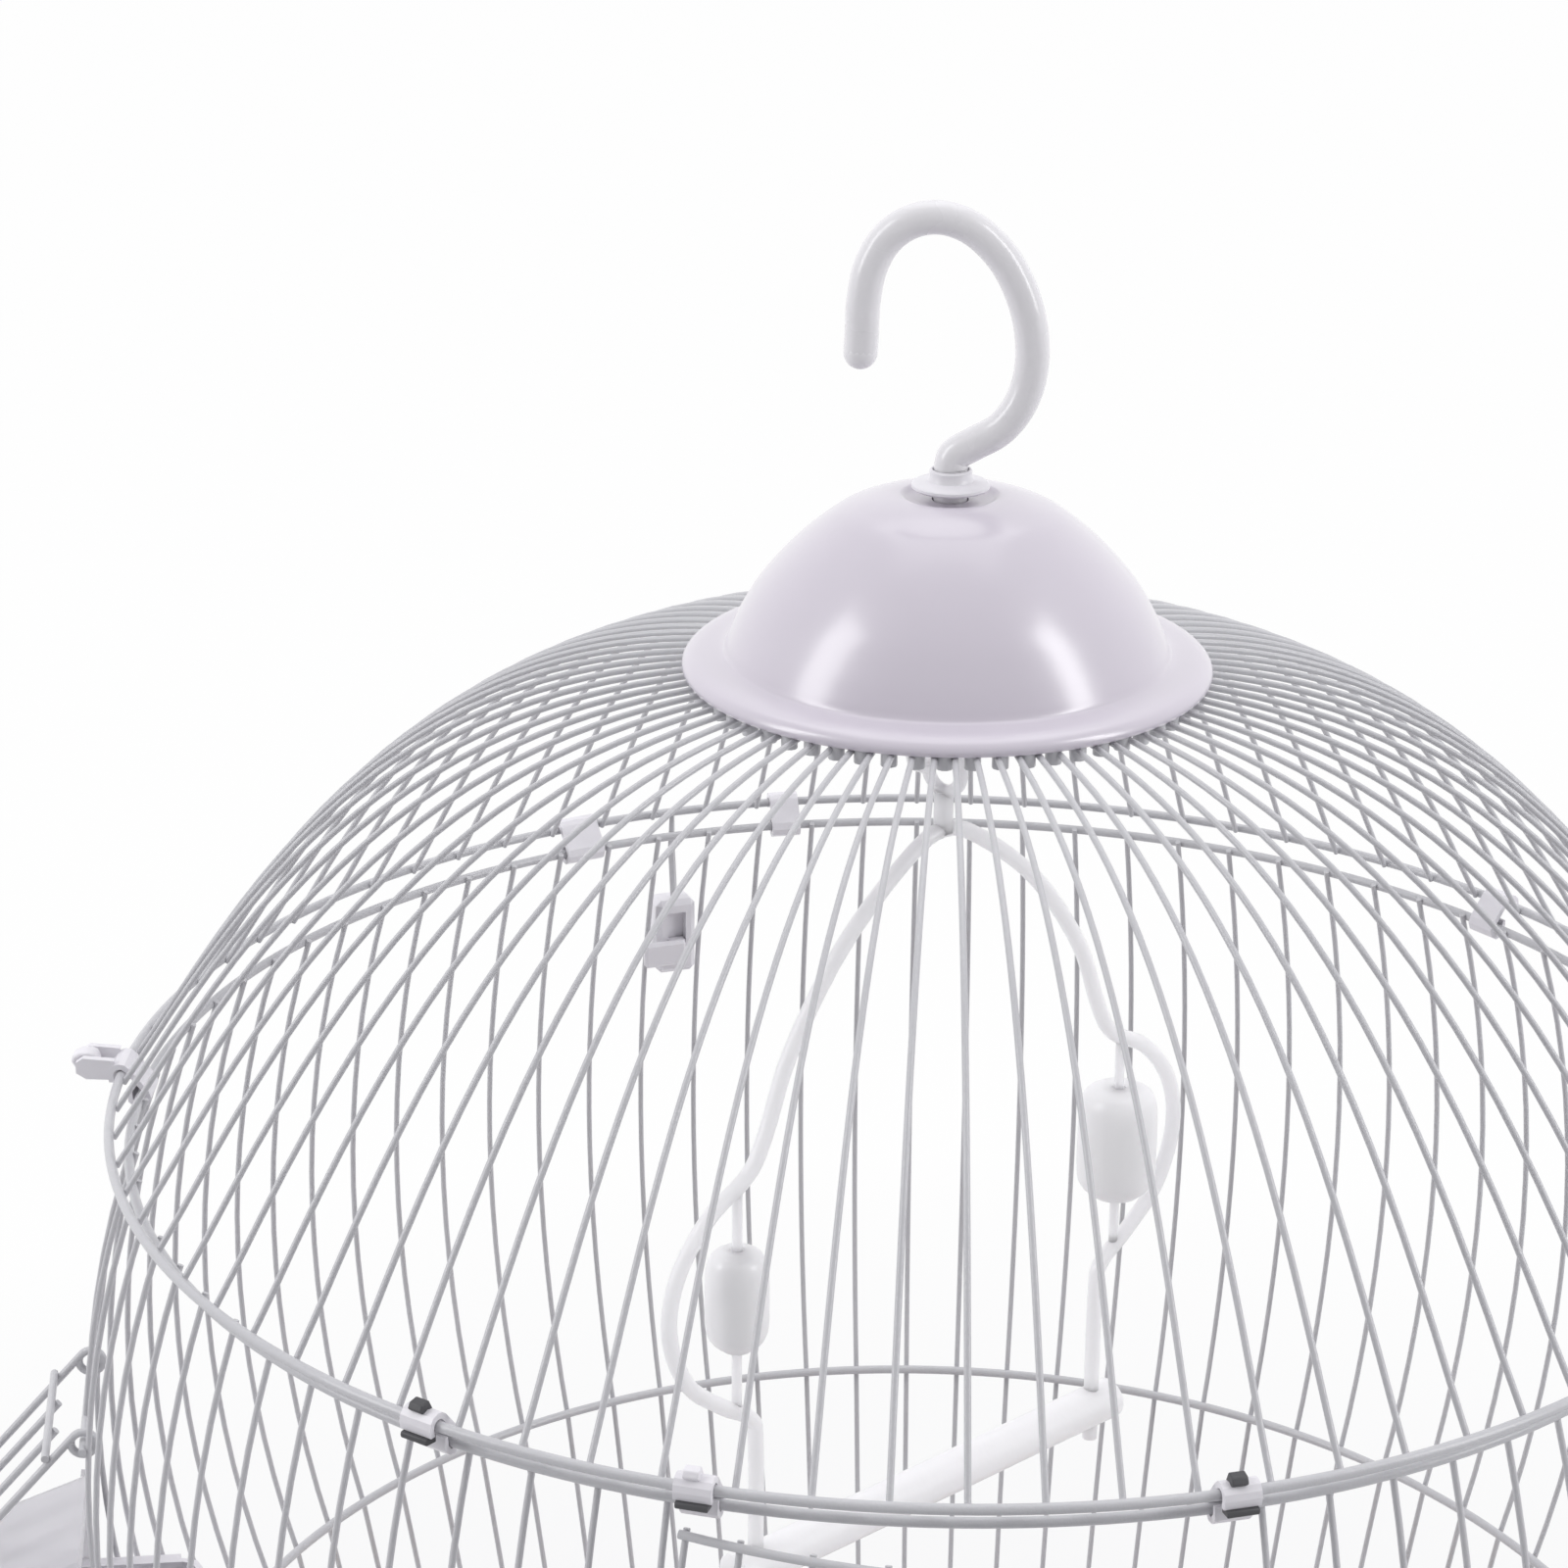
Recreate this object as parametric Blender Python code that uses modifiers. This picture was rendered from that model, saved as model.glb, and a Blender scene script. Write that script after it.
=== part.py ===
"""Round white wire parrot cage: domed roof, moulded cap and hook, swing, feeders and base.

Metres, +Z up. The origin is the middle of the base's underside. The front looks along -Y.
Azimuths run from the front towards +X. Depths are measured down from the roof's hoop.
"""

import math

import bmesh
import bpy
import numpy as np
from mathutils import Matrix, Vector

MM = 0.001

# Wires and hoops
WIRES = 80
PITCH = 2 * math.pi / WIRES
WIRE = 1.2 * MM
HOOP_WIRE = 1.9 * MM
RAIL_WIRE = 1.6 * MM
WELD = 0.3 * MM
GAP = 0.3 * MM
PAST_HOOP = 0.6 * MM
HOOP_OUT = HOOP_WIRE / 2 + WIRE / 2 - WELD
ROOF_HOOP_RADIUS = 160 * MM
BODY_HOOP_RADIUS = 156.6 * MM
BODY_HOOP_DEPTH = 4.5 * MM

# Heights of the whole
JOIN_Z = 255 * MM
CREST_DEPTH = 76.5 * MM
LOWER_HOOP_DEPTH = 148 * MM
FOOT_DEPTH = 217 * MM

# Roof: a superellipse from the hoop up to the ring inside the cap
ROOF_RISE = 93.5 * MM
ROOF_POWER = 1.78
TOP_RING_RADIUS = 37 * MM
ROOF_STEPS = 4

# Body: an arc that bulges out between two hoops, then a straight run in to the base
CREST_RADIUS = 168 * MM
FOOT_RADIUS = 137.5 * MM
BODY_STEPS = 4

# Cap and hook
CAP_RIM_RADIUS = 49.5 * MM
CAP_DOME_RADIUS = 43 * MM
CAP_DOME_HEIGHT = 30.5 * MM
CAP_BASE = 90 * MM
CAP_WALL = 2 * MM
HOOK_ROD = 6.3 * MM

# Front door
DOOR_HINGE_WIRE = -3
DOOR_STOP_WIRE = 5
DOOR_TOP = 9.5 * MM
DOOR_FOOT = 138 * MM
DOOR_PROUD = 0.7 * MM
DOOR_AJAR = math.radians(8)

# Feeders, one each side
FEEDER_AZIMUTH = math.radians(81)
FEEDER_TOP = 60 * MM
FEEDER_FOOT = 131 * MM
FLAP_LENGTH = 40 * MM
FLAP_OPEN = math.radians(42)

# Swing
SWING_TURN = math.radians(45)
SWING_ROD = 3.2 * MM
PERCH_DROP = 88 * MM

# Base
TRAY_HEIGHT = 42 * MM
TRAY_STEPS = 40

WHITE_COAT = (0.86, 0.86, 0.87)
WHITE_PLASTIC = (0.88, 0.87, 0.90)
CLEAR_PLASTIC = (0.90, 0.88, 0.91)
PALE_WOOD = (0.78, 0.62, 0.42)


def start_scene():
    """Empties the scene and makes the collection that holds the cage."""
    for obj in list(bpy.data.objects):
        bpy.data.objects.remove(obj, do_unlink=True)
    collection = bpy.data.collections.new("parrot_cage")
    bpy.context.scene.collection.children.link(collection)
    return collection


CAGE = start_scene()


def polar(azimuth, radius, height):
    """A point by its angle from the front, its distance from the axis and its height."""
    return Vector((radius * math.sin(azimuth), -radius * math.cos(azimuth), height))


def outward(azimuth, radius=0.0, height=0.0):
    """A frame whose X points away from the axis, Y along the hoop and Z up."""
    return Matrix.Translation(polar(azimuth, radius, height)) @ Matrix.Rotation(azimuth - math.pi / 2, 4, "Z")


def section(azimuth, width_shift=0.0, out=0.0):
    """A frame whose X is the distance from the axis and Y the height, for an outline drawn as a section."""
    return outward(azimuth) @ Matrix.Translation((out, width_shift, 0)) @ Matrix.Rotation(math.pi / 2, 4, "X")


def wire_azimuth(number):
    """Upright wires stand half a pitch to either side of the front's middle."""
    return (number - 0.5) * PITCH


def between_wires(number):
    """The azimuth halfway between wires number and number + 1."""
    return number * PITCH


def baked(source, name):
    """Turns a curve, or a mesh with modifiers, into a plain mesh object in world space."""
    if not source.users_collection:
        CAGE.objects.link(source)
    bpy.context.view_layer.update()
    graph = bpy.context.evaluated_depsgraph_get()
    mesh = bpy.data.meshes.new_from_object(source.evaluated_get(graph))
    mesh.transform(source.matrix_world)
    shape = bmesh.new()
    shape.from_mesh(mesh)
    bmesh.ops.remove_doubles(shape, verts=shape.verts, dist=1e-6)
    bmesh.ops.recalc_face_normals(shape, faces=shape.faces)
    shape.to_mesh(mesh)
    shape.free()
    bpy.data.objects.remove(source, do_unlink=True)
    mesh.name = name
    obj = bpy.data.objects.new(name, mesh)
    CAGE.objects.link(obj)
    return obj


def from_bmesh(shape, name):
    """Makes a mesh object of a bmesh and frees the bmesh."""
    mesh = bpy.data.meshes.new(name)
    shape.to_mesh(mesh)
    shape.free()
    obj = bpy.data.objects.new(name, mesh)
    CAGE.objects.link(obj)
    return obj


def tube(name, runs, diameter, resolution=0, cyclic=False):
    """Round wire along one or more runs of points, with closed ends."""
    curve = bpy.data.curves.new(name, "CURVE")
    curve.dimensions = "3D"
    curve.bevel_depth = diameter / 2
    curve.bevel_resolution = resolution
    curve.use_fill_caps = not cyclic
    for run in runs:
        spline = curve.splines.new("POLY")
        spline.points.add(len(run) - 1)
        for point, place in zip(spline.points, run):
            point.co = (*place, 1)
        spline.use_cyclic_u = cyclic
    return baked(bpy.data.objects.new(name, curve), name)


def grille_wire(name, run):
    """A thin wire along a run in the plane of azimuth 0, three-sided with an edge outward, as there are so many."""
    radius = WIRE / 2
    outline = bpy.data.curves.new("wire_section", "CURVE")
    outline.dimensions = "2D"
    spline = outline.splines.new("POLY")
    spline.points.add(2)
    for point, (out, across) in zip(spline.points, ((1, 0), (-1, 1.15), (-1, -1.15))):
        point.co = (out * radius, across * radius, 0, 1)
    spline.use_cyclic_u = True
    profile = bpy.data.objects.new("wire_section", outline)
    curve = bpy.data.curves.new(name, "CURVE")
    curve.dimensions = "3D"
    curve.bevel_mode = "OBJECT"
    curve.bevel_object = profile
    curve.use_fill_caps = True
    spline = curve.splines.new("POLY")
    spline.points.add(len(run) - 1)
    for point, place in zip(spline.points, run):
        point.co = (*place, 1)
    wire = baked(bpy.data.objects.new(name, curve), name)
    bpy.data.objects.remove(profile, do_unlink=True)
    return wire


def hoop(name, radius, height, diameter):
    """A level hoop of round wire, with a flat facet for each pair of wires and its radius true where they meet it."""
    bpy.ops.mesh.primitive_torus_add(
        location=(0, 0, height),
        major_radius=radius * math.cos(PITCH / 2) / math.cos(PITCH),
        minor_radius=diameter / 2,
        major_segments=WIRES // 2,
        minor_segments=4,
    )
    return baked(bpy.context.object, name)


def plate(name, loops, thickness, frame):
    """A flat outline, with holes where there is more than one loop, made as thick as asked about its middle."""
    curve = bpy.data.curves.new(name, "CURVE")
    curve.dimensions = "2D"
    curve.fill_mode = "BOTH"
    curve.extrude = thickness / 2
    for loop in loops:
        spline = curve.splines.new("POLY")
        spline.points.add(len(loop) - 1)
        for point, (across, along) in zip(spline.points, loop):
            point.co = (across, along, 0, 1)
        spline.use_cyclic_u = True
    obj = bpy.data.objects.new(name, curve)
    obj.matrix_world = frame
    return baked(obj, name)


def turned(name, profile, steps, closed=False):
    """A shape turned about the cage's axis from points of radius and height, outer side running down."""
    mesh = bpy.data.meshes.new(name)
    edges = [(i, i + 1) for i in range(len(profile) - 1)]
    if closed:
        edges.append((len(profile) - 1, 0))
    mesh.from_pydata([(radius, 0, height) for radius, height in profile], edges, [])
    obj = bpy.data.objects.new(name, mesh)
    screw = obj.modifiers.new("turn", "SCREW")
    screw.steps = steps
    screw.render_steps = steps
    screw.use_merge_vertices = True
    screw.merge_threshold = 0.00001
    return baked(obj, name)


def block(name, size, frame, rounding=0.0, upright_only=False):
    """A box centred on its frame, with its edges rounded where asked."""
    shape = bmesh.new()
    bmesh.ops.create_cube(shape, size=1)
    bmesh.ops.scale(shape, vec=size, verts=shape.verts)
    if rounding:
        edges = [
            edge
            for edge in shape.edges
            if not upright_only or abs((edge.verts[0].co - edge.verts[1].co).z) > abs(size[2]) / 2
        ]
        bmesh.ops.bevel(shape, geom=edges, offset=rounding, segments=1 if not upright_only else 2, profile=0.5, affect="EDGES")
    bmesh.ops.transform(shape, matrix=frame, verts=shape.verts)
    return from_bmesh(shape, name)


def rod(name, start, end, diameter, sides=8):
    """A plain cylinder between two points."""
    start = Vector(start)
    end = Vector(end)
    along = end - start
    frame = Matrix.Translation((start + end) / 2) @ along.to_track_quat("Z", "Y").to_matrix().to_4x4()
    shape = bmesh.new()
    bmesh.ops.create_cone(
        shape,
        cap_ends=True,
        segments=sides,
        radius1=diameter / 2,
        radius2=diameter / 2,
        depth=along.length,
        matrix=frame,
    )
    return from_bmesh(shape, name)


def combined(name, base, others, operation):
    """Joins other shapes to the base, or cuts them from it, and removes them."""
    for other in others:
        modifier = base.modifiers.new(operation.lower(), "BOOLEAN")
        modifier.operation = operation
        modifier.solver = "EXACT"
        modifier.object = other
        other.hide_render = True
        other.display_type = "WIRE"
    made = baked(base, name)
    for other in others:
        bpy.data.objects.remove(other, do_unlink=True)
    return made


def fused(name, pieces):
    return combined(name, pieces[0], pieces[1:], "UNION")


def cut(name, base, cutters):
    return combined(name, base, cutters, "DIFFERENCE")


def turned_copies(name, template, azimuths):
    """Copies of a shape that stands at azimuth 0, turned about the cage's axis, as one mesh."""
    shape = bmesh.new()
    for azimuth in azimuths:
        start = len(shape.verts)
        shape.from_mesh(template.data)
        shape.verts.ensure_lookup_table()
        bmesh.ops.rotate(
            shape, cent=(0, 0, 0), matrix=Matrix.Rotation(azimuth, 3, "Z"), verts=shape.verts[start:]
        )
    bpy.data.objects.remove(template, do_unlink=True)
    return from_bmesh(shape, name)


def arc(centre, radius, start, end, steps):
    """Points along an arc, its angles in degrees from X."""
    turns = np.radians(np.linspace(start, end, steps + 1))
    return [(centre[0] + radius * math.cos(turn), centre[1] + radius * math.sin(turn)) for turn in turns]


def finished(obj, colour, roughness, alpha=1.0, origin=None, turn=None):
    """Gives a piece its material and shading, and puts its origin on the axis that it moves about."""
    material = bpy.data.materials.new(obj.name)
    material.use_nodes = True
    shader = material.node_tree.nodes["Principled BSDF"]
    shader.inputs["Base Color"].default_value = (*colour, 1)
    shader.inputs["Roughness"].default_value = roughness
    shader.inputs["Metallic"].default_value = 0.0
    shader.inputs["Alpha"].default_value = alpha
    obj.data.materials.clear()
    obj.data.materials.append(material)
    obj.data.shade_smooth()
    obj.data.set_sharp_from_angle(angle=math.radians(35))
    if origin is not None:
        obj.data.transform(Matrix.Translation(-Vector(origin)))
        obj.location = origin
    if turn is not None:
        axis, angle = turn
        obj.rotation_mode = "QUATERNION"
        obj.rotation_quaternion = Matrix.Rotation(angle, 3, Vector(axis)).to_quaternion()
    return obj


# Shapes that the wires follow


def roof_point(share):
    """Radius and height of a roof wire's middle, from the hoop at 0 to the ring inside the cap at 1."""
    foot = ROOF_HOOP_RADIUS - HOOP_OUT
    last = math.acos((TOP_RING_RADIUS / foot) ** (ROOF_POWER / 2))
    angle = share * last
    return (
        foot * math.cos(angle) ** (2 / ROOF_POWER),
        JOIN_Z + ROOF_RISE * math.sin(angle) ** (2 / ROOF_POWER),
    )


def bulge_radius(depth):
    """Radius of the body wires' arc between the body's top hoop and the lower hoop."""
    half = LOWER_HOOP_DEPTH - CREST_DEPTH
    edge = BODY_HOOP_RADIUS - HOOP_OUT
    rise = CREST_RADIUS - edge
    curve = (half**2 + rise**2) / (2 * rise)
    return CREST_RADIUS - curve + math.sqrt(curve**2 - (depth - CREST_DEPTH) ** 2)


BODY_TOP = BODY_HOOP_DEPTH - PAST_HOOP
BODY_END = FOOT_DEPTH + PAST_HOOP
BODY_KNOTS = list(np.linspace(BODY_TOP, LOWER_HOOP_DEPTH, BODY_STEPS + 1)) + [BODY_END]
BODY_RADII = [bulge_radius(depth) for depth in BODY_KNOTS[:-1]] + [FOOT_RADIUS]


def grille_radius(depth):
    """Radius of the body wires' middle at a depth, along their straight runs."""
    return float(np.interp(depth, BODY_KNOTS, BODY_RADII))


def upright(name, top, foot, shift=0.0):
    """A body wire at azimuth 0 from one depth to another, moved out by the shift."""
    depths = [top] + [depth for depth in BODY_KNOTS if top < depth < foot] + [foot]
    run = [polar(0, grille_radius(depth) + shift, JOIN_Z - depth) for depth in depths]
    return grille_wire(name, run)


def rail(name, depth, first, last, shift, diameter=RAIL_WIRE, steps=8):
    """A level rail outside the upright wires, between two azimuths."""
    radius = grille_radius(depth) + shift
    run = [polar(azimuth, radius, JOIN_Z - depth) for azimuth in np.linspace(first, last, steps + 1)]
    return tube(name, [run], diameter)


RAIL_OUT = WIRE / 2 + RAIL_WIRE / 2 - WELD


def build_roof():
    """The domed roof: its wires, welded inside its hoop and to the ring under the cap."""
    run = [polar(0, *roof_point(share)) for share in np.linspace(0, 1, ROOF_STEPS + 1)]
    run[0] += (run[0] - run[1]).normalized() * PAST_HOOP
    inward = (run[-1] - run[-2]).normalized()
    ring = run[-1] - PAST_HOOP * inward + HOOP_OUT * Vector((0, -inward.z, inward.y))
    wires = turned_copies("roof_wires", grille_wire("roof_wire", run), [wire_azimuth(k) for k in range(WIRES)])
    lower = hoop("roof_hoop", ROOF_HOOP_RADIUS, JOIN_Z, HOOP_WIRE)
    upper = hoop("roof_top_ring", -ring.y, ring.z, HOOP_WIRE)
    finished(fused("roof_grille", [wires, lower, upper]), WHITE_COAT, 0.35)


def feeder_wires(side):
    """Numbers of the two wires that the feeder opening on a side interrupts."""
    return (18, 19) if side > 0 else (-18, -17)


PANEL_WIRES = 10
PANELS = {
    "front": -3,
    "front_right": 7,
    "right": 17,
    "rear_right": 27,
    "rear": 37,
    "rear_left": 47,
    "left": 57,
    "front_left": 67,
}


def panel_hoop(name, first, depth):
    """An eighth of a level hoop, bent midway between every other pair of wires, with a small space at each end."""
    radius = (grille_radius(depth) + HOOP_OUT) * math.cos(PITCH / 2) / math.cos(PITCH)
    bends = range(first - 1, first + PANEL_WIRES, 2)
    run = [polar(between_wires(number), radius, JOIN_Z - depth) for number in bends]
    for end, inner in ((0, 1), (-1, -2)):
        run[end] += (run[inner] - run[end]).normalized() * 0.25 * MM
    return tube(name, [run], HOOP_WIRE)


def build_body():
    """The bulging body: eight panels of upright wires on hoops, with the door and feeder openings framed."""
    door = range(DOOR_HINGE_WIRE + 1, DOOR_STOP_WIRE)
    feeder = [number % WIRES for side in (-1, 1) for number in feeder_wires(side)]
    sill = LOWER_HOOP_DEPTH - 5 * MM
    for word, first in PANELS.items():
        numbers = range(first, first + PANEL_WIRES)
        whole = [wire_azimuth(k) for k in numbers if k not in door and k not in feeder]
        pieces = [turned_copies("wires", upright("whole", BODY_TOP, BODY_END), whole)]
        for depth in (BODY_HOOP_DEPTH, FOOT_DEPTH):
            pieces.append(panel_hoop("panel_hoop", first, depth))
        if word == "front":
            short = upright("under", sill - PAST_HOOP, BODY_END)
            pieces.append(turned_copies("under_door", short, [wire_azimuth(k) for k in door]))
            ends = (wire_azimuth(DOOR_HINGE_WIRE - 0.15), wire_azimuth(DOOR_STOP_WIRE + 0.15))
            pieces.append(rail("sill", sill, *ends, RAIL_OUT))
            ends = (wire_azimuth(DOOR_STOP_WIRE - 0.1), wire_azimuth(DOOR_STOP_WIRE + 1.1))
            pieces.append(rail("keeper", KEEPER_DEPTH, *ends, RAIL_OUT, steps=2))
        if word in ("left", "right"):
            side = 1 if word == "right" else -1
            broken = [wire_azimuth(k) for k in feeder_wires(side)]
            over = upright("over", BODY_TOP, FEEDER_TOP + PAST_HOOP)
            pieces.append(turned_copies("over_feeder", over, broken))
            under = upright("foot", FEEDER_FOOT - PAST_HOOP, BODY_END)
            pieces.append(turned_copies("under_feeder", under, broken))
            for depth in (FEEDER_TOP, FEEDER_FOOT):
                pieces.append(feeder_rail(side, depth))
        finished(fused("body_panel_" + word, pieces), WHITE_COAT, 0.35)
    lower = grille_radius(LOWER_HOOP_DEPTH) - WIRE / 2 - 1.0 * MM - GAP
    ring = hoop("lower_hoop", lower, JOIN_Z - LOWER_HOOP_DEPTH + 2 * MM, 2 * MM)
    finished(ring, WHITE_COAT, 0.35)


KEEPER_DEPTH = 84 * MM


def feeder_rail_out(depth):
    """How far from the axis a feeder's rail lies, straight across from one full wire to the next."""
    return grille_radius(depth) * math.cos(1.5 * PITCH) + RAIL_OUT


def feeder_rail(side, depth):
    """A straight rail across a feeder opening, with the two interrupted wires ending on it."""
    frame = outward(side * FEEDER_AZIMUTH, feeder_rail_out(depth), JOIN_Z - depth)
    reach = grille_radius(depth) * math.sin(1.5 * PITCH) + 0.8 * MM
    return tube("feeder_rail", [[frame @ Vector((0, -reach, 0)), frame @ Vector((0, reach, 0))]], RAIL_WIRE)


def build_cap_and_hook():
    """The moulded cap, the plate that clamps it to the wires, and the hook with its collar and nut."""
    hole = HOOK_ROD / 2 + GAP
    base = JOIN_Z + CAP_BASE
    angles = (16, 36, 56, 74)
    outer = [
        (CAP_DOME_RADIUS * math.cos(math.radians(a)), base + CAP_DOME_HEIGHT * math.sin(math.radians(a)))
        for a in angles
    ]
    inner = [
        (
            (CAP_DOME_RADIUS - CAP_WALL) * math.cos(math.radians(a)),
            base + (CAP_DOME_HEIGHT - CAP_WALL) * math.sin(math.radians(a)),
        )
        for a in angles
    ]
    top = base + CAP_DOME_HEIGHT
    profile = [(hole, top + 0.2 * MM), (5.4 * MM, top + 0.2 * MM)]
    profile += outer[::-1]
    profile += [
        (CAP_DOME_RADIUS + 0.8 * MM, base + 2.0 * MM),
        (CAP_RIM_RADIUS - 0.6 * MM, base - 0.4 * MM),
        (CAP_RIM_RADIUS, base - 1.1 * MM),
        (CAP_RIM_RADIUS, base - 2.2 * MM),
        (CAP_DOME_RADIUS + 1 * MM, base - 0.6 * MM),
        (CAP_DOME_RADIUS - CAP_WALL, base + 0.3 * MM),
    ]
    profile += inner
    profile += [(hole, top - CAP_WALL)]
    cap = turned("cap", profile, 36, closed=True)
    finished(cap, WHITE_PLASTIC, 0.18)

    plate_top = roof_point(1)[1] - WIRE / 2 - 1.2 * MM
    thick = 1.6 * MM
    clamp = turned(
        "cap_plate",
        [
            (hole, plate_top),
            (TOP_RING_RADIUS + 1.2 * MM, plate_top),
            (TOP_RING_RADIUS + 1.2 * MM, plate_top - thick),
            (hole, plate_top - thick),
        ],
        20,
        closed=True,
    )
    finished(clamp, WHITE_PLASTIC, 0.3)

    collar_z = top + 0.2 * MM + GAP
    collar = turned(
        "hook_collar",
        [
            (hole, collar_z + 4.4 * MM),
            (4.0 * MM, collar_z + 4.4 * MM),
            (3.8 * MM, collar_z + 2.1 * MM),
            (7.0 * MM, collar_z + 1.9 * MM),
            (7.3 * MM, collar_z + 0.9 * MM),
            (4.6 * MM, collar_z),
            (hole, collar_z),
        ],
        14,
        closed=True,
    )
    finished(collar, WHITE_PLASTIC, 0.2)

    nut_top = plate_top - thick - GAP
    nut_height = 4 * MM
    hexagon = arc((0, 0), 5.8 * MM, 0, 300, 5)
    bore = arc((0, 0), hole, 0, 315, 7)
    nut = plate("hook_nut", [hexagon, bore], nut_height, Matrix.Translation((0, 0, nut_top - nut_height / 2)))
    finished(nut, (0.72, 0.72, 0.74), 0.3)

    neck = collar_z + 1.6 * MM
    stem_foot = nut_top - nut_height - 1 * MM
    curl = [
        (0.0, 3.4),
        (0.8, 5.6),
        (4.2, 7.7),
        (9.0, 10.6),
        (12.6, 15.6),
        (14.3, 22.0),
        (14.1, 29.0),
        (12.2, 36.0),
        (8.6, 42.6),
        (3.4, 47.6),
        (-2.4, 49.8),
        (-8.0, 49.0),
        (-12.6, 45.6),
        (-15.4, 40.4),
        (-16.6, 34.0),
        (-16.8, 28.6),
        (-17.0, 24.6),
    ]
    run = [Vector((0, 0, stem_foot)), Vector((0, 0, neck))]
    run += [Vector((across * MM, 0, neck + up * MM)) for across, up in curl]
    hook = tube("hook", [run], HOOK_ROD, resolution=2)
    tip = bmesh.new()
    bmesh.ops.create_uvsphere(
        tip, u_segments=8, v_segments=6, radius=HOOK_ROD / 2 * 1.02, matrix=Matrix.Translation(run[-1])
    )
    hook = fused("hook", [hook, from_bmesh(tip, "tip")])
    finished(hook, WHITE_COAT, 0.25, origin=(0, 0, neck))


def clip_outline(jaw=2.4 * MM, bore=1.3 * MM):
    """Section of a clip round both hoops: a sleeve with its mouth facing outward, between the hoops."""
    upper = (ROOF_HOOP_RADIUS, JOIN_Z)
    lower = (grille_radius(BODY_HOOP_DEPTH) + HOOP_OUT, JOIN_Z - BODY_HOOP_DEPTH)
    outer = arc(upper, jaw, 0, 143, 5) + arc(lower, jaw, 143, 335, 5)
    lip = 0.75 * MM
    inner = arc(lower, bore, 345, 143, 4) + arc(upper, bore, 143, -10, 4)
    middle = (upper[1] + lower[1]) / 2
    low_lip = [(lower[0] + jaw - 0.3 * MM, middle - lip), (lower[0] + bore + 0.1 * MM, middle - lip)]
    high_lip = [(upper[0] + bore - 0.2 * MM, middle + lip), (upper[0] + jaw - 0.3 * MM, middle + lip)]
    return outer + low_lip + inner + high_lip


def hoop_bend(number):
    """How much farther out the faceted hoops lie between wires number and number + 1 than on the wires."""
    return (0.24 if number % 2 == 0 else -0.12) * MM


def build_ring_clips():
    """Snap clips that hold the roof's hoop to the body's hoop."""
    places = {
        "ring_clip_front_left": (-7, 6.5),
        "ring_clip_front": (-3, 6.5),
        "ring_clip_front_right": (4, 6.5),
        "ring_clip_rear_right": (29, 6.5),
        "ring_clip_rear_left": (-37, 6.5),
        "ring_clip_rear": (-33, 9.0),
    }
    for name, (number, length) in places.items():
        clip = plate(name, [clip_outline()], length * MM, section(between_wires(number), out=hoop_bend(number)))
        finished(clip, WHITE_PLASTIC, 0.25)


LOCK_PIVOT = (166.6 * MM, JOIN_Z + 1.2 * MM)


def build_roof_locks():
    """A lever clip on each side: a sleeve on the hoops, and a thumb lever that pivots on it."""
    for side, word in ((-1, "left"), (1, "right")):
        azimuth = between_wires(20 * side)
        bend = hoop_bend(20)
        sleeve = plate("sleeve", [clip_outline()], 8 * MM, section(azimuth, out=bend))
        ear = [
            (162.2 * MM, JOIN_Z - 1.0 * MM),
            (166.6 * MM, JOIN_Z - 1.0 * MM),
            (168.6 * MM, JOIN_Z + 0.2 * MM),
            (168.6 * MM, JOIN_Z + 2.4 * MM),
            (167.2 * MM, JOIN_Z + 3.4 * MM),
            (161.0 * MM, JOIN_Z + 3.0 * MM),
        ]
        ears = [plate("ear", [ear], 1.5 * MM, section(azimuth, shift * MM, bend)) for shift in (-3.1, 3.1)]
        frame = outward(azimuth, bend)
        pin = rod(
            "pin",
            frame @ Vector((LOCK_PIVOT[0], -3.2 * MM, LOCK_PIVOT[1])),
            frame @ Vector((LOCK_PIVOT[0], 3.2 * MM, LOCK_PIVOT[1])),
            1.6 * MM,
            6,
        )
        body = fused("roof_lock_" + word, [sleeve, ears[0], ears[1], pin])
        finished(body, WHITE_PLASTIC, 0.25)
        outline = [(LOCK_PIVOT[0] + x * MM, LOCK_PIVOT[1] + z * MM) for x, z in LEVER_OUTLINE]
        bore = arc(LOCK_PIVOT, 1.15 * MM, 0, 300, 5)
        lever = plate("roof_lock_lever_" + word, [outline, bore], 4.0 * MM, section(azimuth, out=bend))
        finished(lever, WHITE_PLASTIC, 0.25, origin=frame @ Vector((LOCK_PIVOT[0], 0, LOCK_PIVOT[1])))


LEVER_OUTLINE = [
    (-2.0, 0.9),
    (-0.8, 2.2),
    (1.6, 2.3),
    (7.6, 2.6),
    (8.6, 1.6),
    (8.2, 0.4),
    (3.0, -0.6),
    (1.4, -2.0),
    (-0.6, -2.3),
    (-2.0, -1.2),
]


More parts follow.
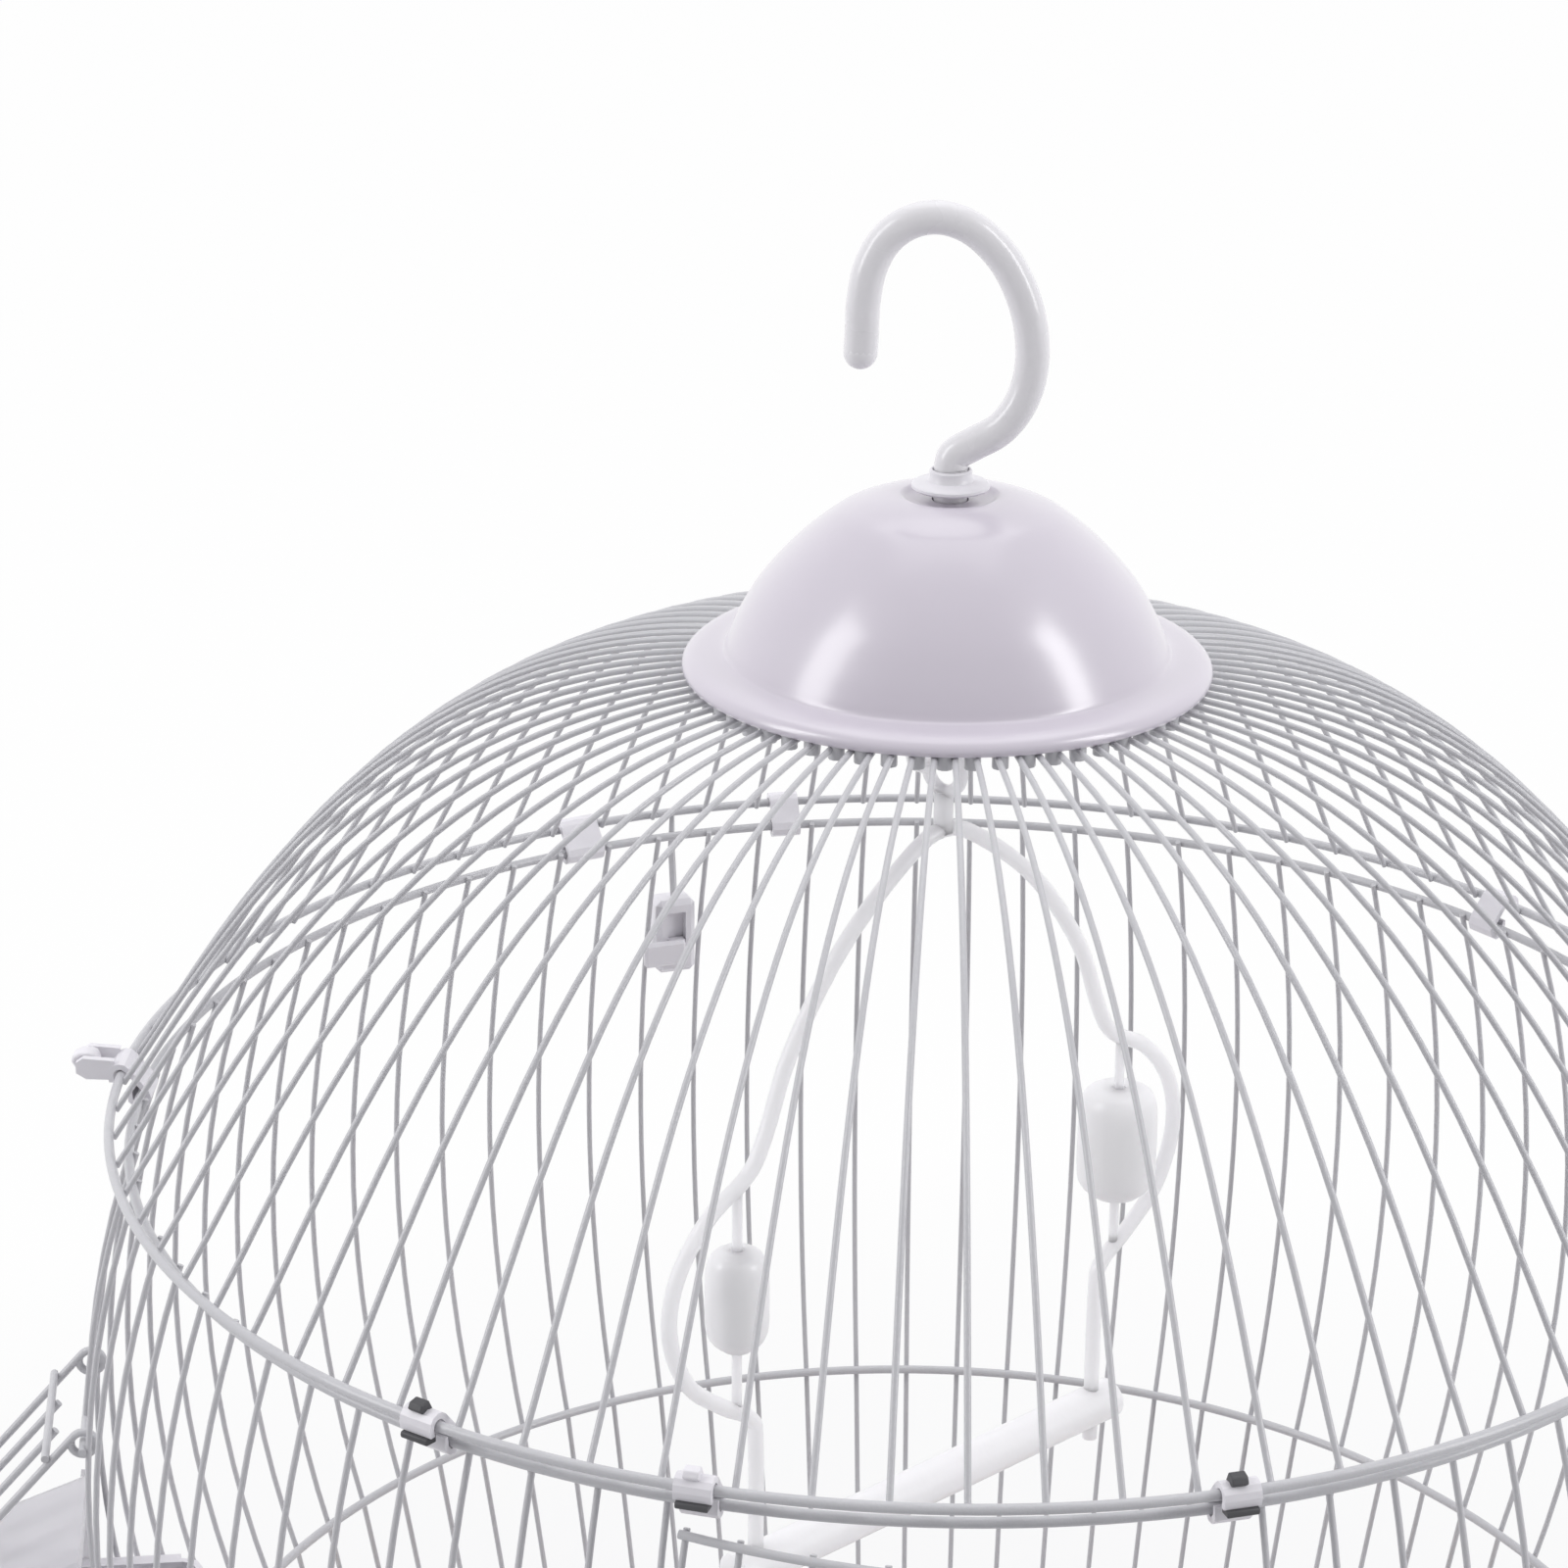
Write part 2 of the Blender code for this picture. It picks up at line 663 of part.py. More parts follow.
def build_front_door():
    """A wire door between the hoops, hinged on a body wire by two loops and standing a little open."""
    hinge_azimuth = wire_azimuth(DOOR_HINGE_WIRE)
    loop_depths = (CREST_DEPTH - 21.5 * MM, CREST_DEPTH + 21.5 * MM)
    hinge_radius = grille_radius(loop_depths[0])
    loop_radius = 3.0 * MM
    stile = hinge_azimuth + loop_radius / hinge_radius
    stop_stile = wire_azimuth(DOOR_STOP_WIRE) - 4 * MM / CREST_RADIUS
    azimuths = [stile] + [wire_azimuth(k) for k in range(DOOR_HINGE_WIRE + 1, DOOR_STOP_WIRE)] + [stop_stile]
    bar = upright("door_bar", DOOR_TOP - 0.8 * MM, DOOR_FOOT + 0.8 * MM, DOOR_PROUD)
    bars = turned_copies("door_bars", bar, azimuths)
    last = wire_azimuth(DOOR_STOP_WIRE) + 1.6 * MM / CREST_RADIUS
    first = stile - 0.8 * MM / hinge_radius
    out = DOOR_PROUD + RAIL_OUT
    pieces = [bars]
    for depth in (DOOR_TOP, DOOR_FOOT):
        pieces.append(rail("door_rail", depth, first, last, out))
    hinge = polar(hinge_azimuth, hinge_radius, JOIN_Z - CREST_DEPTH)
    for depth in loop_depths:
        bpy.ops.mesh.primitive_torus_add(
            location=(hinge.x, hinge.y, JOIN_Z - depth),
            major_radius=loop_radius,
            minor_radius=RAIL_WIRE / 2,
            major_segments=8,
            minor_segments=4,
        )
        pieces.append(baked(bpy.context.object, "door_loop"))
    door = fused("front_door", pieces)
    finished(door, WHITE_COAT, 0.35, origin=hinge, turn=((0, 0, 1), -DOOR_AJAR))
    build_door_latch(stop_stile, hinge)


def build_door_latch(azimuth, hinge):
    """A catch that slides down the door's free edge, so that its prong drops behind the keeper."""
    radius = grille_radius(CREST_DEPTH) + DOOR_PROUD
    frame = outward(azimuth, radius, JOIN_Z - KEEPER_DEPTH)
    body = block("latch_body", (7 * MM, 5 * MM, 10 * MM), frame @ Matrix.Translation((0.4 * MM, 0, 7 * MM)), 0.8 * MM)
    thumb = block("latch_thumb", (4 * MM, 4 * MM, 3 * MM), frame @ Matrix.Translation((5.2 * MM, 0, 9 * MM)), 0.6 * MM)
    arm = [(1.4, 1.5), (3.4, 1.5), (3.4, 10.5), (-1.8, 10.5), (-1.8, 8.5), (1.4, 8.5)]
    arm = plate(
        "latch_arm", [[(x * MM, y * MM) for x, y in arm]], 2.4 * MM, frame @ Matrix.Translation((0, 0, 6 * MM))
    )
    prong = block(
        "latch_prong", (1.2 * MM, 1.6 * MM, 4.4 * MM), frame @ Matrix.Translation((-1.4 * MM, 9.5 * MM, 4 * MM))
    )
    bore = block("latch_bore", (2.6 * MM, 2.2 * MM, 20 * MM), frame @ Matrix.Translation((-0.4 * MM, 0, 7 * MM)))
    latch = fused("latch", [body, thumb, arm, prong])
    latch = cut("front_door_latch", latch, [bore])
    ajar = Matrix.Translation(hinge) @ Matrix.Rotation(-DOOR_AJAR, 4, "Z") @ Matrix.Translation(-hinge)
    latch.data.transform(ajar)
    finished(latch, WHITE_PLASTIC, 0.25, origin=ajar @ (frame @ Vector((0, 0, 7 * MM))))


def build_rear_catch():
    """A drop wire hung from the rear clip, with a moulded catch between two wires and its sliding knob."""
    azimuth = between_wires(-35)
    radius = ROOF_HOOP_RADIUS + 3.4 * MM
    start = between_wires(-33) - 5.6 * MM / radius
    height = JOIN_Z - 1.6 * MM
    foot_depth = 22 * MM
    run = [polar(a, radius, height) for a in np.linspace(start, azimuth, 3)]
    run.append(polar(azimuth, radius + 0.6 * MM, JOIN_Z - 10 * MM))
    run.append(polar(azimuth, grille_radius(foot_depth) + 2.4 * MM, JOIN_Z - foot_depth))
    wire = tube("rear_drop_wire", [run], 1.7 * MM)
    finished(wire, WHITE_COAT, 0.35)

    top = foot_depth + GAP
    middle = top + 9 * MM
    centre = grille_radius(middle)
    frame = outward(azimuth, centre, JOIN_Z - middle)
    body = block("catch", (7 * MM, 9.4 * MM, 18 * MM), frame @ Matrix.Translation((1.2 * MM, 0, 0)), 1.2 * MM)
    slot = block("slot", (3 * MM, 4.4 * MM, 12 * MM), frame @ Matrix.Translation((-1.6 * MM, 0, 0)))
    body = cut("rear_catch", body, [slot])
    finished(body, WHITE_PLASTIC, 0.25)

    low = Matrix.Translation((0, 0, -3.2 * MM))
    key = block("key", (2.2 * MM, 3.8 * MM, 5 * MM), frame @ low @ Matrix.Translation((-1.6 * MM, 0, 0)))
    tab = block("tab", (2 * MM, 10 * MM, 6 * MM), frame @ low @ Matrix.Translation((-3.6 * MM, 3.4 * MM, 0)), 0.7 * MM)
    slider = fused("rear_catch_slider", [key, tab])
    finished(slider, WHITE_PLASTIC, 0.25, origin=frame @ low @ Vector((-1.6 * MM, 0, 0)))


def build_feeders():
    """On each side: a wire flap on the opening's top rail, a clear hood outside and a cup that slides under it."""
    for side, word in ((-1, "left"), (1, "right")):
        frame = outward(side * FEEDER_AZIMUTH)
        build_flap(word, frame)
        build_hood(word, frame)
        build_cup(word, frame)


def build_flap(word, frame):
    """A wire flap hung on the top rail by two loops, lying open over the hood."""
    axis = frame @ Vector((feeder_rail_out(FEEDER_TOP), 0, JOIN_Z - FEEDER_TOP))
    local = Matrix.Translation(axis) @ frame.to_3x3().to_4x4()
    loop_radius = 2.4 * MM
    thin = 1.6 * MM
    half = 16.5 * MM
    inner = 5.5 * MM
    tip = -FLAP_LENGTH
    pieces = []
    for across in (-half, half):
        bpy.ops.mesh.primitive_torus_add(
            major_radius=loop_radius, minor_radius=thin / 2, major_segments=8, minor_segments=4
        )
        loop = bpy.context.object
        loop.matrix_world = local @ Matrix.Translation((0, across, 0)) @ Matrix.Rotation(math.pi / 2, 4, "X")
        pieces.append(baked(loop, "flap_loop"))
    bars = [
        [(loop_radius, across, -0.4 * MM), (loop_radius, across, tip - 0.8 * MM)] for across in (-half, half)
    ]
    bars += [
        [(loop_radius, across, -6.2 * MM), (loop_radius, across, tip - 0.8 * MM)] for across in (-inner, inner)
    ]
    for number, bar in enumerate(bars):
        pieces.append(tube("flap_bar_%d" % number, [[local @ Vector(point) for point in bar]], thin))
    cross = loop_radius + thin - WELD
    for number, height in enumerate((-7 * MM, tip)):
        ends = [(cross, -half - 0.8 * MM, height), (cross, half + 0.8 * MM, height)]
        pieces.append(tube("flap_cross_%d" % number, [[local @ Vector(point) for point in ends]], thin))
    flap = fused("feeder_flap_" + word, pieces)
    along = frame.to_3x3() @ Vector((0, 1, 0))
    finished(flap, WHITE_COAT, 0.35, origin=axis, turn=(along, -FLAP_OPEN))


HOOD_BACK = 169.6 * MM
HOOD_FRONT = 203 * MM
HOOD_HALF = 19.0 * MM
HOOD_WALL = 1.4 * MM
HOOD_TOP = JOIN_Z - 86 * MM
HOOD_FOOT = JOIN_Z - 109 * MM


def build_hood(word, frame):
    """A clear hood: sloping roof, front and sides in one shell, with a flange on the wires and rails for the cup."""
    shape = bmesh.new()
    bmesh.ops.create_cube(shape, size=1)
    for vert in shape.verts:
        back = vert.co.x < 0
        up = vert.co.z > 0
        vert.co.x = HOOD_BACK if back else HOOD_FRONT
        vert.co.y = math.copysign(HOOD_HALF, vert.co.y)
        vert.co.z = HOOD_FOOT if not up else HOOD_TOP if back else HOOD_TOP - 13 * MM
    open_faces = [face for face in shape.faces if face.normal.z < -0.9 or face.normal.x < -0.9]
    bmesh.ops.delete(shape, geom=open_faces, context="FACES")
    ridge = [
        edge
        for edge in shape.edges
        if len(edge.link_faces) == 2 and edge.calc_face_angle() > math.radians(30)
    ]
    bmesh.ops.bevel(shape, geom=ridge, offset=2.5 * MM, segments=2, profile=0.5, affect="EDGES")
    bmesh.ops.transform(shape, matrix=frame, verts=shape.verts)
    shell = from_bmesh(shape, "hood_shell")
    walls = shell.modifiers.new("wall", "SOLIDIFY")
    walls.thickness = HOOD_WALL
    walls.offset = -1
    walls.use_even_offset = True
    shell = baked(shell, "hood_shell")
    mouth = block(
        "mouth",
        (8 * MM, 2 * (HOOD_HALF - HOOD_WALL), 14 * MM),
        frame @ Matrix.Translation((HOOD_FRONT, 0, HOOD_FOOT - 7 * MM + 4.6 * MM)),
    )
    shell = cut("hood_shell", shell, [mouth])
    pieces = [shell]
    middle = (HOOD_TOP + HOOD_FOOT) / 2 + 1 * MM
    for hand in (-1, 1):
        flange = Matrix.Translation((HOOD_BACK + 0.7 * MM, hand * (HOOD_HALF + 1.4 * MM), middle - 1 * MM))
        pieces.append(block("flange", (1.4 * MM, 4.4 * MM, HOOD_TOP - HOOD_FOOT - 4 * MM), frame @ flange))
        lip = Matrix.Translation(((HOOD_BACK + HOOD_FRONT) / 2, hand * (HOOD_HALF - 2.1 * MM), HOOD_FOOT + 0.7 * MM))
        pieces.append(block("lip", (HOOD_FRONT - HOOD_BACK - 6 * MM, 1.8 * MM, 1.4 * MM), frame @ lip))
    finished(fused("feeder_hood_" + word, pieces), CLEAR_PLASTIC, 0.15, alpha=0.55)


CUP_IN = 147 * MM
CUP_OUT = 201.4 * MM
CUP_HALF = 15.4 * MM
CUP_RIM = HOOD_FOOT + 3.4 * MM
CUP_FOOT = JOIN_Z - 128 * MM


def build_cup(word, frame):
    """A seed cup that reaches through the opening, with side ledges that run on the hood's rails."""
    length = CUP_OUT - CUP_IN
    height = CUP_RIM - CUP_FOOT
    centre = Matrix.Translation(((CUP_OUT + CUP_IN) / 2, 0, (CUP_RIM + CUP_FOOT) / 2))
    outer = block("cup", (length, 2 * CUP_HALF, height), frame @ centre, 4 * MM, upright_only=True)
    wall = 1.4 * MM
    hollow = block(
        "hollow",
        (length - 2 * wall, 2 * (CUP_HALF - wall), height),
        frame @ centre @ Matrix.Translation((0, 0, wall)),
        2.8 * MM,
        upright_only=True,
    )
    cup = cut("cup", outer, [hollow])
    pieces = [cup]
    for hand in (-1, 1):
        ledge = Matrix.Translation(((CUP_OUT + CUP_IN) / 2, hand * (CUP_HALF + 0.6 * MM), CUP_RIM - 0.8 * MM))
        pieces.append(block("ledge", (length - 9 * MM, 2.2 * MM, 1.6 * MM), frame @ ledge))
    pull = Matrix.Translation((CUP_OUT + 1.6 * MM, 0, CUP_RIM - 1.0 * MM))
    pieces.append(block("pull", (5 * MM, 16 * MM, 2 * MM), frame @ pull, 0.7 * MM))
    origin = frame @ Vector(((CUP_OUT + CUP_IN) / 2, 0, CUP_FOOT))
    finished(fused("feeder_cup_" + word, pieces), WHITE_PLASTIC, 0.25, origin=origin)


SWING_PIVOT = JOIN_Z + 68 * MM


def build_swing():
    """A swing hung under the cap: stirrup, moulded frame, perch and a spinning bead on each side."""
    local = Matrix.Rotation(SWING_TURN, 4, "Z")
    plate_foot = roof_point(1)[1] - WIRE / 2 - 1.2 * MM - 1.6 * MM
    bar = 2.4 * MM
    half = 9 * MM
    stirrup = [
        (-half, 0, plate_foot - GAP),
        (-half, 0, SWING_PIVOT + 3 * MM),
        (-half + 2.4 * MM, 0, SWING_PIVOT),
        (half - 2.4 * MM, 0, SWING_PIVOT),
        (half, 0, SWING_PIVOT + 3 * MM),
        (half, 0, plate_foot - GAP),
    ]
    hanger = tube("swing_hanger", [[local @ Vector(point) for point in stirrup]], bar, resolution=1)
    finished(hanger, WHITE_PLASTIC, 0.3)

    side = [
        (0, 54),
        (10, 50),
        (26, 37),
        (39, 19.5),
        (45.5, 4),
        (50, -3),
        (60, -9),
        (67.5, -18.5),
        (69.5, -30),
        (65, -42),
        (56, -50),
        (49, -55),
        (47.5, -62),
    ]
    foot = PERCH_DROP + 7.5 * MM
    right = [Vector((w * MM, 0, JOIN_Z + z * MM)) for w, z in side] + [Vector((47.5 * MM, 0, JOIN_Z - foot))]
    left = [Vector((-point.x, 0, point.z)) for point in right[:0:-1]]
    pieces = [tube("swing_rod", [[local @ point for point in left + right]], SWING_ROD, resolution=1)]
    eye_centre = SWING_PIVOT - 1.5 * MM
    eye_radius = 4.6 * MM
    bpy.ops.mesh.primitive_torus_add(
        major_radius=eye_radius, minor_radius=1.3 * MM, major_segments=10, minor_segments=4
    )
    eye = bpy.context.object
    eye.matrix_world = local @ Matrix.Translation((0, 0, eye_centre)) @ Matrix.Rotation(math.pi / 2, 4, "Y")
    pieces.append(baked(eye, "swing_eye"))
    neck_top = eye_centre - eye_radius
    pieces.append(
        rod("swing_neck", (0, 0, neck_top), (0, 0, JOIN_Z + 53.4 * MM), 3.6 * MM)
    )
    for hand in (-1, 1):
        across = hand * 52.5 * MM
        ends = [(across, 0, JOIN_Z - 3.6 * MM), (across, 0, JOIN_Z - 53 * MM)]
        pieces.append(tube("swing_pin", [[local @ Vector(end) for end in ends]], 2 * MM, resolution=1))
        knob = bmesh.new()
        bmesh.ops.create_uvsphere(
            knob,
            u_segments=8,
            v_segments=5,
            radius=3 * MM,
            matrix=local @ Matrix.Translation((hand * 47.5 * MM, 0, JOIN_Z - foot)),
        )
        pieces.append(from_bmesh(knob, "swing_knob"))
    frame = fused("swing_frame", pieces)
    finished(frame, WHITE_PLASTIC, 0.3, origin=(0, 0, SWING_PIVOT))

    perch_z = JOIN_Z - PERCH_DROP
    reach = 53 * MM
    perch = rod("perch", local @ Vector((-reach, 0, perch_z)), local @ Vector((reach, 0, perch_z)), 8.6 * MM, 10)
    bores = [
        rod(
            "bore",
            local @ Vector((hand * 47.5 * MM, 0, perch_z - 9 * MM)),
            local @ Vector((hand * 47.5 * MM, 0, perch_z + 9 * MM)),
            4.2 * MM,
            8,
        )
        for hand in (-1, 1)
    ]
    finished(cut("swing_perch", perch, bores), WHITE_PLASTIC, 0.35)

    beads = {"left": (-1, 6.2, 21, -28), "right": (1, 8.2, 24, -28)}
    for word, (hand, radius, height, middle) in beads.items():
        bore = 1.4 * MM
        half = height / 2
        profile = [
            (bore, half * MM),
            ((radius - 3.2) * MM, half * MM),
            ((radius - 0.6) * MM, (half - 2.4) * MM),
            (radius * MM, 2.5 * MM),
            (radius * MM, -(half - 3.4) * MM),
            ((radius - 1.4) * MM, -(half - 0.6) * MM),
            ((radius - 3.2) * MM, -half * MM),
            (bore, -half * MM),
        ]
        bead = turned("swing_bead_" + word, profile, 12, closed=True)
        centre = local @ Vector((hand * 52.5 * MM, 0, JOIN_Z + middle * MM))
        bead.data.transform(Matrix.Translation(centre))
        finished(bead, WHITE_PLASTIC, 0.2, origin=centre)


def build_perches():
    """Two fixed perches, each with a slot at both ends that pushes over an upright wire."""
    depth = 168 * MM
    radius = grille_radius(depth)
    height = JOIN_Z - depth
    for word, number in (("front", 15), ("rear", 25)):
        azimuth = wire_azimuth(number)
        reach = radius * math.sin(azimuth)
        along_y = -radius * math.cos(azimuth)
        ends = reach + 3 * MM
        dowel = rod("perch", (-ends, along_y, height), (ends, along_y, height), 11 * MM, 12)
        slots = []
        for hand in (-1, 1):
            frame = outward(hand * azimuth, radius, height)
            slots.append(block("slot", (10 * MM, 2.0 * MM, 14 * MM), frame @ Matrix.Translation((2.7 * MM, 0, 0))))
        finished(cut("perch_" + word, dowel, slots), PALE_WOOD, 0.6)


CLIP_PIVOT = (148.6 * MM, 24 * MM)
CLIP_WIDTH = 6.4 * MM


def build_base():
    """The base tray, with ears for its two clips, and the clips that hold the body's foot hoop down."""
    profile = [
        (0, 2.4),
        (129.5, 2.4),
        (133.8, 35.4),
        (141.6, 35.4),
        (142.2, 41.2),
        (143.2, 42.0),
        (144.6, 41.6),
        (145.2, 40.0),
        (144.6, 33.8),
        (142.0, 33.0),
        (135.2, 4.0),
        (132.4, 0.0),
        (0, 0.0),
    ]
    tray = turned("tray", [(radius * MM, height * MM) for radius, height in profile], TRAY_STEPS)
    pieces = [tray]
    ear = [
        (138.6 * MM, 17 * MM),
        (149.6 * MM, 21.4 * MM),
        (151.2 * MM, 23 * MM),
        (151.2 * MM, 25 * MM),
        (149.8 * MM, 26.6 * MM),
        (146.6 * MM, 27.6 * MM),
        (139.6 * MM, 28 * MM),
    ]
    clips = []
    for side, word in ((-1, "left"), (1, "right")):
        azimuth = between_wires(20 * side)
        frame = outward(azimuth)
        offset = CLIP_WIDTH / 2 + GAP + 1 * MM
        for hand in (-1, 1):
            pieces.append(plate("ear", [ear], 2 * MM, section(azimuth, hand * offset)))
        ends = [frame @ Vector((CLIP_PIVOT[0], hand * (offset + 0.4 * MM), CLIP_PIVOT[1])) for hand in (-1, 1)]
        pieces.append(rod("ear_pin", ends[0], ends[1], 2.2 * MM, 6))
        outline = [(radius * MM, height * MM) for radius, height in CLIP_OUTLINE]
        bore = arc(CLIP_PIVOT, 1.5 * MM, 0, 300, 5)
        clip = plate("base_clip_" + word, [outline, bore], CLIP_WIDTH, section(azimuth))
        clips.append((clip, frame @ Vector((CLIP_PIVOT[0], 0, CLIP_PIVOT[1]))))
    finished(fused("base_tray", pieces), WHITE_PLASTIC, 0.3)
    for clip, pivot in clips:
        finished(clip, WHITE_PLASTIC, 0.25, origin=pivot)


CLIP_OUTLINE = [
    (136.4, 39.9),
    (138.4, 41.2),
    (138.8, 43.0),
    (145.6, 43.0),
    (146.6, 42.2),
    (146.6, 29.0),
    (145.8, 24.0),
    (147.0, 20.6),
    (149.4, 13.0),
    (151.6, 12.6),
    (152.2, 14.0),
    (151.0, 21.6),
    (151.4, 25.0),
    (149.4, 29.0),
    (149.4, 43.4),
    (147.8, 45.4),
    (137.4, 45.4),
    (136.2, 43.8),
]


def build_cage():
    build_roof()
    build_body()
    build_cap_and_hook()
    build_ring_clips()
    build_roof_locks()
    build_front_door()
    build_rear_catch()
    build_feeders()
    build_swing()
    build_perches()
    build_base()


build_cage()
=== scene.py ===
import math

import bmesh
import bpy
import numpy as np
from mathutils import Matrix, Vector

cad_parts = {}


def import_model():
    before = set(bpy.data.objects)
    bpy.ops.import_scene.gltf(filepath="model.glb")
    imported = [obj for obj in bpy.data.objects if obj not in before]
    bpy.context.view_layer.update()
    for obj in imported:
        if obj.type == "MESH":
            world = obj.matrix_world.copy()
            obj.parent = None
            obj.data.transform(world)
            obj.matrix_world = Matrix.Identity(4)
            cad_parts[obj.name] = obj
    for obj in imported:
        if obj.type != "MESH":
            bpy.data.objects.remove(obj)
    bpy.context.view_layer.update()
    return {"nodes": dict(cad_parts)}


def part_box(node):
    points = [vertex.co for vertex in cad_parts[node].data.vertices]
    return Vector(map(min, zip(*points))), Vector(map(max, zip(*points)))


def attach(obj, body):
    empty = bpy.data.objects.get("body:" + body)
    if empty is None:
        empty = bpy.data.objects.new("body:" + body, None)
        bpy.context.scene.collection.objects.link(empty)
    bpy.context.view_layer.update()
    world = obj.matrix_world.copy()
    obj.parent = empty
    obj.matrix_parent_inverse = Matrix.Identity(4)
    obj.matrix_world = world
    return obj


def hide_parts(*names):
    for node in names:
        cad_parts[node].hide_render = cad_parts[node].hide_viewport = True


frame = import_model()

NODES = frame["nodes"]

MM = 0.001

# Real sizes, as in the part's source
WIRES = 80
PITCH = 2 * math.pi / WIRES
WIRE = 1.2 * MM
HOOP_WIRE = 1.9 * MM
RAIL_WIRE = 1.6 * MM
WELD = 0.3 * MM
GAP = 0.3 * MM
PAST_HOOP = 0.6 * MM
HOOP_OUT = HOOP_WIRE / 2 + WIRE / 2 - WELD
RAIL_OUT = WIRE / 2 + RAIL_WIRE / 2 - WELD
ROOF_HOOP_RADIUS = 160 * MM
BODY_HOOP_RADIUS = 156.6 * MM
BODY_HOOP_DEPTH = 4.5 * MM
JOIN_Z = 255 * MM
CREST_DEPTH = 76.5 * MM
CREST_RADIUS = 168 * MM
LOWER_HOOP_DEPTH = 148 * MM
FOOT_DEPTH = 217 * MM
FOOT_RADIUS = 137.5 * MM
ROOF_RISE = 87.5 * MM
ROOF_POWER = 3.4
ROOF_SHOULDER = 1.08
TOP_RING_RADIUS = 39.4 * MM
CAP_TOP = JOIN_Z + 120.5 * MM
HOOK_ROD = 6.3 * MM
DOOR_HINGE_WIRE = -3
DOOR_STOP_WIRE = 5
DOOR_TOP = 9.5 * MM
DOOR_FOOT = 138 * MM
DOOR_PROUD = 0.7 * MM
DOOR_AJAR = math.radians(8)
KEEPER_DEPTH = 84 * MM
FEEDER_AZIMUTH = math.radians(81)
FEEDER_TOP = 60 * MM
FEEDER_FOOT = 131 * MM
FLAP_LENGTH = 40 * MM
FLAP_OPEN = math.radians(42)
SWING_TURN = math.radians(45)
SWING_PIVOT = JOIN_Z + 68 * MM
PERCH_DROP = 88 * MM
STUDS = 60


def polar(azimuth, radius, height):
    return Vector((radius * math.sin(azimuth), -radius * math.cos(azimuth), height))


def outward(azimuth, radius=0.0, height=0.0):
    return Matrix.Translation(polar(azimuth, radius, height)) @ Matrix.Rotation(azimuth - math.pi / 2, 4, "Z")


def wire_azimuth(number):
    return (number - 0.5) * PITCH


def roof_point(share):
    """Radius and height of a roof wire's middle, from the hoop at 0 to the ring inside the cap at 1."""
    foot = ROOF_HOOP_RADIUS - HOOP_OUT
    radius = foot + (TOP_RING_RADIUS - foot) * share
    return radius, JOIN_Z + ROOF_RISE * (1 - (radius / foot) ** ROOF_POWER) ** ROOF_SHOULDER


def grille_radius(depth):
    half = LOWER_HOOP_DEPTH - CREST_DEPTH
    edge = BODY_HOOP_RADIUS - HOOP_OUT
    rise = CREST_RADIUS - edge
    curve = (half**2 + rise**2) / (2 * rise)
    if depth <= LOWER_HOOP_DEPTH:
        return CREST_RADIUS - curve + math.sqrt(curve**2 - (depth - CREST_DEPTH) ** 2)
    end = FOOT_DEPTH + PAST_HOOP
    share = (depth - LOWER_HOOP_DEPTH) / (end - LOWER_HOOP_DEPTH)
    return edge + (FOOT_RADIUS - edge) * share


def smooth(points, per=8, cyclic=False):
    """Points along a smooth curve through the given ones."""
    points = [Vector(p) for p in points]
    count = len(points)
    found = []
    spans = count if cyclic else count - 1
    for i in range(spans):
        b = points[i]
        c = points[(i + 1) % count]
        a = points[(i - 1) % count] if cyclic or i > 0 else b * 2 - c
        d = points[(i + 2) % count] if cyclic or i + 2 < count else c * 2 - b
        for step in range(per):
            t = step / per
            found.append(
                0.5
                * (
                    (2 * b)
                    + (c - a) * t
                    + (2 * a - 5 * b + 4 * c - d) * t**2
                    + (3 * b - a - 3 * c + d) * t**3
                )
            )
    if not cyclic:
        found.append(points[-1])
    return found


def link(obj):
    bpy.context.scene.collection.objects.link(obj)
    return obj


# Materials


